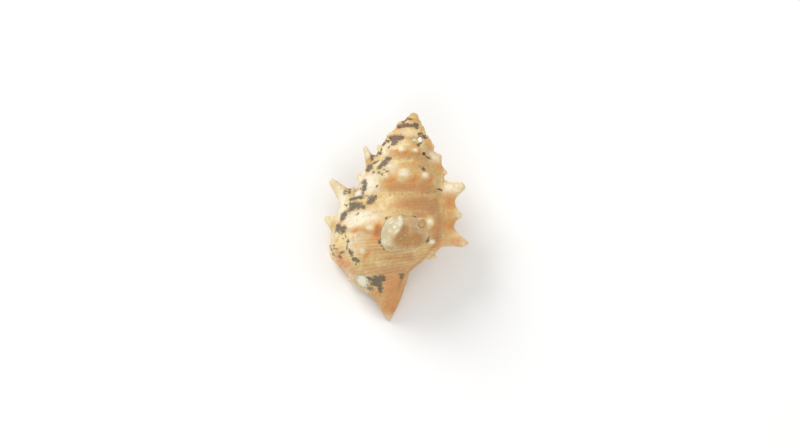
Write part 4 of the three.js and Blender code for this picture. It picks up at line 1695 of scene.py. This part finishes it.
class NodeSheet:
    """A node tree with short calls for the nodes that the finishes use."""

    def __init__(self, tree: bpy.types.NodeTree) -> None:
        """Start on an emptied tree."""
        self.tree = tree
        self.tree.nodes.clear()

    def add(self, kind: str, **settings: object) -> bpy.types.Node:
        """Add a node.

        Args:
            kind: Blender's name for the node type.
            settings: its properties by name.

        Returns:
            The node.
        """
        node = self.tree.nodes.new(kind)
        for name, value in settings.items():
            setattr(node, name, value)
        return node

    def feed(self, socket: Socket, value: object) -> None:
        """Link a socket to another one, or set its own value.

        Args:
            socket: the input.
            value: an output, a colour or a number.
        """
        if isinstance(value, bpy.types.NodeSocket):
            self.tree.links.new(value, socket)
        elif isinstance(value, tuple) and len(value) == 3 and socket.type == "RGBA":
            socket.default_value = (*value, 1.0)
        else:
            socket.default_value = value

    def math(self, operation: str, *values: Value, clamp: bool = False) -> Socket:
        """Add a Math node.

        Args:
            operation: what it does.
            values: its inputs in order.
            clamp: whether its result stays from 0 to 1.

        Returns:
            Its result.
        """
        node = self.add("ShaderNodeMath", operation=operation, use_clamp=clamp)
        for socket, value in zip(node.inputs, values):
            self.feed(socket, value)
        return node.outputs[0]

    def times(self, product: Socket, *others: Value) -> Socket:
        """Multiply values.

        Args:
            product: the first value.
            others: the other values.

        Returns:
            Their product.
        """
        for other in others:
            product = self.math("MULTIPLY", product, other)
        return product

    def add_up(self, total: Value, *parts: tuple[Socket, float]) -> Socket:
        """Add weighted parts to a value.

        Args:
            total: the value to start from.
            parts: each part and its weight.

        Returns:
            The total.
        """
        for part, weight in parts:
            total = self.math("MULTIPLY_ADD", part, weight, total)
        return total

    def blend(self, factor: Value, first: object, second: object) -> Socket:
        """Mix two colours.

        Args:
            factor: share of the second one.
            first: the colour at factor 0.
            second: the colour at factor 1.

        Returns:
            The mixed colour.
        """
        node = self.add("ShaderNodeMix", data_type="RGBA")
        for index, value in ((0, factor), (6, first), (7, second)):
            self.feed(node.inputs[index], value)
        return node.outputs[2]

    def layers(self, colour: object, *coats: tuple[Value, object]) -> Socket:
        """Lay colours over a colour, the last one on top.

        Args:
            colour: the ground.
            coats: the factor and the colour of each coat.

        Returns:
            The colour of them all.
        """
        for factor, coat in coats:
            colour = self.blend(factor, colour, coat)
        return colour

    def ease(
        self, value: Value, low: float, high: float, start: float = 0.0, end: float = 1.0
    ) -> Socket:
        """Ease a value from start to end as it goes from low to high.

        Args:
            value: the value.
            low: where the ease begins.
            high: where it ends.
            start: result at low and below.
            end: result at high and above.

        Returns:
            The eased value.
        """
        node = self.add("ShaderNodeMapRange", interpolation_type="SMOOTHSTEP")
        for socket, item in zip(node.inputs, (value, low, high, start, end)):
            self.feed(socket, item)
        return node.outputs[0]

    def noise(
        self, vector: Socket, scale: Value, detail: float = 3.0, rough: float = 0.55
    ) -> Socket:
        """Add soft noise.

        Args:
            vector: where it is read.
            scale: how fine it is.
            detail: how many finer layers it has.
            rough: how strong these are.

        Returns:
            The noise, from 0 to 1.
        """
        node = self.add("ShaderNodeTexNoise")
        inputs = {"Vector": vector, "Scale": scale, "Detail": detail, "Roughness": rough}
        for name, value in inputs.items():
            self.feed(node.inputs[name], value)
        return node.outputs["Fac"]

    def stretch(self, vector: Socket, factors: tuple[float, float, float]) -> Socket:
        """Scale a vector along its axes.

        Args:
            vector: the vector.
            factors: one factor for each axis.

        Returns:
            The scaled vector.
        """
        node = self.add("ShaderNodeVectorMath", operation="MULTIPLY")
        self.feed(node.inputs[0], vector)
        node.inputs[1].default_value = factors
        return node.outputs[0]

    def axes(self, vector: Socket) -> list[Socket]:
        """Split a vector.

        Args:
            vector: the vector.

        Returns:
            Its x, y and z.
        """
        node = self.add("ShaderNodeSeparateXYZ")
        self.feed(node.inputs[0], vector)
        return list(node.outputs)

    def channels(self, name: str) -> list[Socket]:
        """Read a colour attribute.

        Args:
            name: the attribute.

        Returns:
            Its red, green, blue and alpha.
        """
        attribute = self.add("ShaderNodeAttribute", attribute_name=name)
        split = self.add("ShaderNodeSeparateColor")
        self.feed(split.inputs[0], attribute.outputs["Color"])
        return [*split.outputs[:3], attribute.outputs["Alpha"]]


class SharedGroups:
    """Node groups that more than one finish uses."""

    def __init__(self) -> None:
        """Build each group once."""
        self.ragged = self._ragged()
        self.grain = self._grain()

    def _start(
        self, name: str, inputs: tuple[tuple[str, str], ...], outputs: tuple[str, ...]
    ) -> tuple[bpy.types.NodeTree, NodeSheet, "bpy.types.NodeOutputs", "bpy.types.NodeInputs"]:
        """Make an empty group with its sockets.

        Args:
            name: the group's name.
            inputs: label and type of each input.
            outputs: label of each output, which is a number.

        Returns:
            The tree, its sheet, what the group is given and what it puts out.
        """
        tree = bpy.data.node_groups.new(name, "ShaderNodeTree")
        sheet = NodeSheet(tree)
        for label, kind in inputs:
            tree.interface.new_socket(label, in_out="INPUT", socket_type=kind)
        for label in outputs:
            tree.interface.new_socket(label, in_out="OUTPUT", socket_type="NodeSocketFloat")
        start, end = sheet.add("NodeGroupInput"), sheet.add("NodeGroupOutput")
        return tree, sheet, start.outputs, end.inputs

    def _ragged(self) -> bpy.types.NodeTree:
        """Turn a soft painted mark into a crisp patch with a ragged, speckled edge.

        Returns:
            The group. Its patch has a firm edge, and its halo is wider and soft.
        """
        number, vector = "NodeSocketFloat", "NodeSocketVector"
        sockets = (("Amount", number), ("Place", vector), ("Scale", number))
        tree, sheet, given, out = self._start("ragged_patch", sockets, ("Patch", "Halo"))
        coarse = sheet.noise(given["Place"], given["Scale"], 4.0, 0.65)
        fine = sheet.noise(given["Place"], sheet.times(given["Scale"], 3.4), 5.0, 0.65)
        wander = sheet.math("MULTIPLY_ADD", coarse, 1.7, -0.85)
        wander = sheet.add_up(wander, (sheet.math("SUBTRACT", fine, 0.5), 2.1))
        wander = sheet.times(wander, sheet.ease(given["Amount"], 0.0, 0.3))
        total = sheet.math("ADD", given["Amount"], wander)
        sheet.feed(out["Patch"], sheet.ease(total, 0.4, 0.53))
        sheet.feed(out["Halo"], sheet.ease(total, 0.2, 0.5))
        return tree

    def _grain(self) -> bpy.types.NodeTree:
        """Fine worn grain.

        Returns:
            The group, with small pits here and there and a soft mottle.
        """
        sockets = (("Place", "NodeSocketVector"),)
        tree, sheet, given, out = self._start("worn_grain", sockets, ("Pits", "Mottle"))
        cells = sheet.add("ShaderNodeTexVoronoi")
        sheet.feed(cells.inputs["Vector"], given["Place"])
        cells.inputs["Scale"].default_value = 1.3
        where = sheet.noise(given["Place"], 0.35, 2.0)
        dot = sheet.ease(cells.outputs["Distance"], 0.05, 0.3, 1.0, 0.0)
        sheet.feed(out["Pits"], sheet.times(dot, sheet.ease(where, 0.55, 0.75)))
        sheet.feed(out["Mottle"], sheet.noise(given["Place"], 1.1, 6.0, 0.6))
        return tree

    def use(
        self, sheet: NodeSheet, group: bpy.types.NodeTree, **inputs: object
    ) -> dict[str, Socket]:
        """Place a group on a sheet.

        Args:
            sheet: the material's sheet.
            group: the group to place.
            inputs: its inputs by name.

        Returns:
            Its outputs by name.
        """
        node = sheet.add("ShaderNodeGroup", node_tree=group)
        for name, value in inputs.items():
            sheet.feed(node.inputs[name], value)
        return {output.name: output for output in node.outputs}


@dataclass(frozen=True)
class Finish:
    """Base of a finish: a named material with one Principled shader."""

    name: str
    coat: float = 0.0
    coat_roughness: float = 0.2

    def start(self) -> tuple[bpy.types.Material, NodeSheet, bpy.types.Node, Socket]:
        """Make the material.

        Returns:
            The material, its sheet, its shader, and Object coordinates in millimetres.
        """
        material = bpy.data.materials.new(self.name)
        material.use_nodes = True
        sheet = NodeSheet(material.node_tree)
        shader = sheet.add("ShaderNodeBsdfPrincipled")
        output = sheet.add("ShaderNodeOutputMaterial")
        sheet.feed(output.inputs["Surface"], shader.outputs[0])
        shader.inputs["Coat Weight"].default_value = self.coat
        shader.inputs["Coat Roughness"].default_value = self.coat_roughness
        place = sheet.add("ShaderNodeTexCoord").outputs["Object"]
        return material, sheet, shader, sheet.stretch(place, (1 / MM, 1 / MM, 1 / MM))

    def raise_surface(self, sheet: NodeSheet, shader: bpy.types.Node, height: Socket) -> None:
        """Bump the surface.

        Args:
            sheet: the material's sheet.
            shader: its shader.
            height: the height in millimetres.
        """
        bump = sheet.add("ShaderNodeBump")
        bump.inputs["Strength"].default_value = 1.0
        bump.inputs["Distance"].default_value = MM
        sheet.feed(bump.inputs["Height"], height)
        sheet.feed(shader.inputs["Normal"], bump.outputs["Normal"])


@dataclass(frozen=True)
class ShellFinish(Finish):
    """Worn lime of the frog shell: cream and orange-brown, with dark stains, pale crusts, and
    painted light and shade.
    """

    cream: Colour = srgb(241, 233, 206)
    yellow: Colour = srgb(232, 210, 146)
    gold: Colour = srgb(208, 168, 98)
    tan: Colour = srgb(185, 131, 74)
    orange: Colour = srgb(214, 138, 64)
    rust_and_shade: Colour = srgb(166, 98, 54)
    dark_and_shadow: Colour = srgb(82, 60, 34)
    thread: Colour = srgb(176, 124, 76)
    pale_thread: Colour = srgb(232, 200, 152)
    spire_stain: Colour = srgb(122, 96, 80)
    grey_stain: Colour = srgb(104, 100, 84)
    chalk: Colour = srgb(238, 230, 204)
    glaze: Colour = srgb(250, 238, 218)
    throat: Colour = srgb(226, 168, 118)
    threads: int = 18

    def make(self, groups: SharedGroups) -> bpy.types.Material:
        """Build the material.

        Args:
            groups: the shared node groups.

        Returns:
            The finished material.
        """
        material, sheet, shader, place = self.start()
        stain_and_shadow, warm, pale, chalky = sheet.channels("marks")
        throat, glaze, seam, _ = sheet.channels("zones")
        rust_and_shade, bare, crease, dark_and_shadow = sheet.channels("tints")
        outside = sheet.math("SUBTRACT", 1.0, glaze, clamp=True)
        coil = sheet.add("ShaderNodeUVMap", uv_map="coil").outputs[0]
        turn, strand, _ = sheet.axes(coil)
        grain = groups.use(sheet, groups.grain, Place=place)
        specks = sheet.noise(place, 2.6, 4.0, 0.7)
        lumpy = sheet.noise(place, 0.6, 5.0, 0.65)
        clouds = sheet.noise(place, 0.14, 3.0)
        patchy = sheet.math("MULTIPLY_ADD", grain["Mottle"], 0.7, -0.35)

        # Growth streaks across the whorls, and threads along them that are boldest low down
        streaks = sheet.noise(sheet.stretch(coil, (34.0, 3.0, 1.0)), 1.0, 4.0)
        strands = sheet.noise(sheet.stretch(coil, (2.2, 60.0, 1.0)), 1.0, 4.0)
        phase = sheet.times(strand, FULL_TURN * self.threads)
        phase = sheet.add_up(phase, (sheet.noise(place, 0.45, 2.0), 3.0))
        wave = sheet.math("MULTIPLY_ADD", sheet.math("COSINE", phase), 0.5, 0.5)
        threaded = sheet.times(
            sheet.ease(strand, 0.55, 0.85, 0.06, 1.0),
            outside,
            sheet.ease(turn, 4.1, 4.6, 0.3, 1.0),
            sheet.math("SUBTRACT", 1.0, bare, clamp=True),
            sheet.ease(sheet.noise(place, 0.25, 2.0), 0.3, 0.6, 0.35, 1.0),
        )
        ridge = sheet.times(sheet.math("POWER", wave, 2.0), threaded)
        furrow = sheet.math("POWER", sheet.math("SUBTRACT", 1.0, wave), 3.0)
        furrow = sheet.times(furrow, threaded)

        # Clean lime, with painted highlights on the knob tops and painted shade beside the knobs
        # and on the right side
        fine = sheet.math("MULTIPLY_ADD", threaded, 0.25, 0.1)
        rust_and_shade_level = sheet.add_up(rust_and_shade, (patchy, 0.6))
        colour = sheet.layers(
            self.yellow,
            (sheet.ease(clouds, 0.36, 0.62), self.gold),
            (sheet.ease(streaks, 0.52, 0.75, 0.0, 0.3), self.tan),
            (sheet.ease(sheet.math("ADD", warm, patchy), 0.0, 0.95), self.tan),
            (sheet.times(fine, sheet.ease(strands, 0.46, 0.72)), self.pale_thread),
            (sheet.ease(sheet.add_up(pale, (patchy, 0.5)), 0.05, 0.95), self.cream),
            # Orange and red-brown, with the painted shade beside the knobs
            (sheet.ease(rust_and_shade_level, 0.05, 1.0, 0.0, 0.9), self.orange),
            (sheet.ease(rust_and_shade_level, 0.7, 1.3, 0.0, 0.85), self.rust_and_shade),
            (sheet.times(ridge, 0.26), self.pale_thread),
            (sheet.times(furrow, 0.26), self.thread),
            # Painted shade in the crease at the foot of each shelf's step
            (sheet.times(crease, 0.5), self.thread),
            (sheet.ease(lumpy, 0.42, 0.72, 0.0, 0.4), self.tan),
            (sheet.ease(specks, 0.5, 0.75, 0.0, 0.35), self.thread),
            (sheet.ease(specks, 0.28, 0.46, 0.35, 0.0), self.chalk),
            (sheet.times(seam, sheet.ease(grain["Mottle"], 0.4, 0.6), 0.6), self.thread),
            (sheet.times(grain["Pits"], 0.5), self.thread),
        )

        # Stains, browner on the spire, with painted shadow at the valve's rim; then dark pits and
        # painted shadow at the valve's hole, crusts and the lining of the mouth
        stain_and_shadow_mask = groups.use(sheet, groups.ragged, Amount=stain_and_shadow, Place=place, Scale=0.9)
        crusted = groups.use(sheet, groups.ragged, Amount=chalky, Place=place, Scale=1.3)
        patch = sheet.times(stain_and_shadow_mask["Patch"], outside)
        crust = sheet.times(crusted["Patch"], outside)
        dark = sheet.layers(
            self.grey_stain,
            (sheet.ease(sheet.axes(place)[1], 10.0, 22.0), self.spire_stain),
            (sheet.ease(specks, 0.4, 0.7, 0.0, 0.5), self.dark_and_shadow),
        )
        colour = sheet.layers(
            colour,
            (sheet.times(stain_and_shadow_mask["Halo"], 0.4, outside), self.thread),
            # Dark stains, and the painted shadow at the valve's rim
            (sheet.times(patch, sheet.ease(specks, 0.3, 0.5, 0.62, 0.96)), dark),
            # Dark pits, and the painted shadow at the valve's hole
            (sheet.ease(sheet.add_up(dark_and_shadow, (patchy, 0.5)), 0.75, 1.2), self.dark_and_shadow),
            (crust, self.chalk),
            (glaze, sheet.blend(sheet.ease(throat, 0.0, 0.5), self.glaze, self.throat)),
        )
        sheet.feed(shader.inputs["Base Color"], colour)

        rough = sheet.add_up(
            0.34, (grain["Mottle"], 0.3), (patch, 0.25), (crust, 0.35), (glaze, -0.25)
        )
        sheet.feed(shader.inputs["Roughness"], rough)

        worn = sheet.math("MULTIPLY_ADD", bare, -0.7, outside, clamp=True)
        height = sheet.add_up(
            sheet.times(wave, threaded, 0.085),
            (sheet.times(strands, worn), 0.07),
            (sheet.times(streaks, worn), 0.1),
            (grain["Mottle"], 0.08),
            (sheet.times(lumpy, outside), 0.3),
            (crease, -0.12),
            (grain["Pits"], -0.12),
            (patch, 0.04),
            (crust, 0.22),
        )
        self.raise_surface(sheet, shader, height)
        return material


@dataclass(frozen=True)
class ValveFinish(Finish):
    """Thin pearly lime of the jingle shell: grey-green and cream, brown where it is thin, with
    painted light and shade.
    """

    pearl: Colour = srgb(202, 191, 156)
    cream: Colour = srgb(234, 225, 192)
    brown: Colour = srgb(178, 126, 62)
    pink: Colour = srgb(200, 162, 108)
    rim: Colour = srgb(190, 178, 136)
    rim_shadow: Colour = srgb(104, 84, 54)

    def make(self, groups: SharedGroups) -> bpy.types.Material:
        """Build the material.

        Args:
            groups: the shared node groups.

        Returns:
            The finished material.
        """
        material, sheet, shader, place = self.start()
        growth = sheet.add("ShaderNodeAttribute", attribute_name="growth").outputs["Fac"]
        tone = sheet.add("ShaderNodeAttribute", attribute_name="tone").outputs["Fac"]
        grain = groups.use(sheet, groups.grain, Place=place)
        clouds = sheet.noise(place, 0.36, 4.0)
        spots = sheet.noise(place, 0.8, 4.0, 0.65)
        tone = sheet.math("ADD", tone, sheet.math("MULTIPLY_ADD", clouds, 0.5, -0.25))
        # Painted shadow of the gap under the valve, ragged, round the hole and along the rim
        inner = sheet.ease(growth, 0.0, 0.03, 0.5, 0.0)
        edge = sheet.math("ADD", inner, sheet.ease(growth, 0.965, 1.0, 0.0, 0.4))
        rim_shadow_mask = groups.use(sheet, groups.ragged, Amount=edge, Place=place, Scale=0.8)
        colour = sheet.layers(
            self.pearl,
            (sheet.ease(clouds, 0.4, 0.64), self.cream),
            # Pink and brown with the tone; right of the ridge the brown is also painted shade
            (sheet.ease(tone, 0.05, 0.6, 0.0, 0.8), self.pink),
            (sheet.ease(tone, 0.25, 1.05), self.brown),
            # Cream where the tone is below zero: the painted highlight on the ridge's crest
            (sheet.ease(tone, -0.9, -0.1, 0.9, 0.0), self.cream),
            (sheet.ease(spots, 0.46, 0.72, 0.0, 0.5), self.pink),
            (sheet.ease(spots, 0.3, 0.48, 0.3, 0.0), self.cream),
            (sheet.ease(growth, 0.88, 1.0, 0.0, 0.5), self.rim),
            (sheet.times(rim_shadow_mask["Patch"], 0.7), self.rim_shadow),
        )
        sheet.feed(shader.inputs["Base Color"], colour)
        sheet.feed(shader.inputs["Roughness"], sheet.add_up(0.18, (grain["Mottle"], 0.25)))
        height = sheet.add_up(sheet.times(spots, 0.2), (grain["Mottle"], 0.08), (clouds, 0.35))
        self.raise_surface(sheet, shader, height)
        return material


@dataclass(frozen=True)
class Lamp:
    """A soft square light that faces the shell: place and size in metres, power in watts."""

    name: str
    place: tuple[float, float, float]
    size: float
    power: float


@dataclass(frozen=True)
class Studio:
    """Pale floor, soft lights and the camera above the shell's back."""

    focal_length: float = 85.0
    sensor_width: float = 36.0
    distance: float = 0.674
    picture_turn: float = math.radians(8.5)
    target: tuple[float, float] = (0.79, 39.5)
    lamps: tuple[Lamp, ...] = (
        Lamp("key", (-0.6, 0.5, 0.6), 0.5, 5.7),
        Lamp("fill", (0.8, 0.1, 0.7), 0.9, 2.9),
        Lamp("low_fill", (-0.1, -0.9, 0.6), 0.9, 3.2),
    )
    sky: float = 0.54
    floor_half_width: float = 0.6
    floor_gap: float = 0.0001
    floor_colour: tuple[float, float, float, float] = (0.93, 0.93, 0.92, 1.0)

    def set_camera(self, pose: RestPose) -> None:
        """Place the camera square to the coiling axis, turned as the photograph is.

        Args:
            pose: how the shell lies in the frame.
        """
        back = pose.direction(0, 0, 1)
        right = pose.direction(math.cos(self.picture_turn), math.sin(self.picture_turn), 0)
        up = pose.direction(-math.sin(self.picture_turn), math.cos(self.picture_turn), 0)
        data = bpy.data.cameras.new("camera")
        data.lens = self.focal_length
        data.sensor_width = self.sensor_width
        data.clip_start, data.clip_end = 0.05, 10.0
        camera = bpy.data.objects.new("camera", data)
        bpy.context.scene.collection.objects.link(camera)
        x, depth = self.target
        place = pose.point(x, depth, 0.0) + back * self.distance
        axes = Matrix((right, up, back)).transposed().to_4x4()
        camera.matrix_world = Matrix.Translation(place) @ axes
        bpy.context.scene.camera = camera

    def add_light(self, lamp: Lamp) -> None:
        """Hang a light.

        Args:
            lamp: its name, place, size and power.
        """
        data = bpy.data.lights.new(lamp.name, "AREA")
        data.size = lamp.size
        data.energy = lamp.power
        light = bpy.data.objects.new(lamp.name, data)
        light.location = lamp.place
        light.rotation_euler = (-Vector(lamp.place)).to_track_quat("-Z", "Y").to_euler()
        bpy.context.scene.collection.objects.link(light)

    def set_lights(self) -> None:
        """Place a key light at the upper left, two fills and an even white sky."""
        for lamp in self.lamps:
            self.add_light(lamp)
        world = bpy.data.worlds.new("white_sky")
        world.use_nodes = True
        background = world.node_tree.nodes["Background"]
        background.inputs[0].default_value = (1.0, 1.0, 1.0, 1.0)
        background.inputs[1].default_value = self.sky
        bpy.context.scene.world = world
        bpy.context.scene.view_settings.view_transform = "Standard"

    def build_floor(self) -> None:
        """Lay the pale floor under the shell."""
        bm = bmesh.new()
        bmesh.ops.create_grid(bm, x_segments=2, y_segments=2, size=self.floor_half_width)
        bmesh.ops.translate(bm, verts=list(bm.verts), vec=(0, 0, -self.floor_gap))
        mesh = bpy.data.meshes.new("floor")
        bm.to_mesh(mesh)
        bm.free()
        material = bpy.data.materials.new("pale_floor")
        material.use_nodes = True
        shader = material.node_tree.nodes["Principled BSDF"]
        shader.inputs["Base Color"].default_value = self.floor_colour
        shader.inputs["Roughness"].default_value = 0.9
        shader.inputs["Specular IOR Level"].default_value = 0.1
        mesh.materials.append(material)
        floor = bpy.data.objects.new("floor", mesh)
        bpy.context.scene.collection.objects.link(floor)


class Assembly:
    """The shell and its valve, placed in the frame."""

    def __init__(self) -> None:
        """Keep the pose, the growth law and the shared node groups."""
        self.pose = RestPose()
        self.law = GrowthLaw()
        self.groups = SharedGroups()

    def place(
        self, mesh: bpy.types.Mesh, node: str, slot: str, material: bpy.types.Material
    ) -> None:
        """Put a mesh into the frame in the place of a solid.

        Args:
            mesh: the piece's mesh, in millimetres round the coiling axis.
            node: the solid that it stands for.
            slot: the record's material slot, which is not used.
            material: its finish.
        """
        mesh.transform(self.pose.matrix())
        for vert in mesh.vertices:
            vert.co.z = max(vert.co.z, 0.0)
        mesh.shade_smooth()
        mesh.materials.append(material)
        piece = bpy.data.objects.new(mesh.name, mesh)
        bpy.context.scene.collection.objects.link(piece)
        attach(piece, "root")
        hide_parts(node)
        LOG.info("%s: %d vertices", piece.name, len(mesh.vertices))

    def build(self) -> None:
        """Build both pieces, the valve over the shell's finished skin."""
        body = ShellBody(self.law, Relief(), Piercing())
        shell = body.build()
        valve = JingleValve().build(BVHTree.FromBMesh(body.bm))
        finish = ShellFinish("worn_shell_with_painted_light")
        self.place(shell, "conch_shell", "shell", finish.make(self.groups))
        pearl = ValveFinish("pearly_valve", coat=0.15, coat_roughness=0.3)
        self.place(valve, "jingle_valve", "valve", pearl.make(self.groups))


def main() -> None:
    """Build the pieces and the studio."""
    logging.basicConfig(level=logging.INFO)
    studio = Studio()
    assembly = Assembly()
    studio.set_camera(assembly.pose)
    studio.set_lights()
    studio.build_floor()
    assembly.build()


if __name__ == "__main__":
    main()
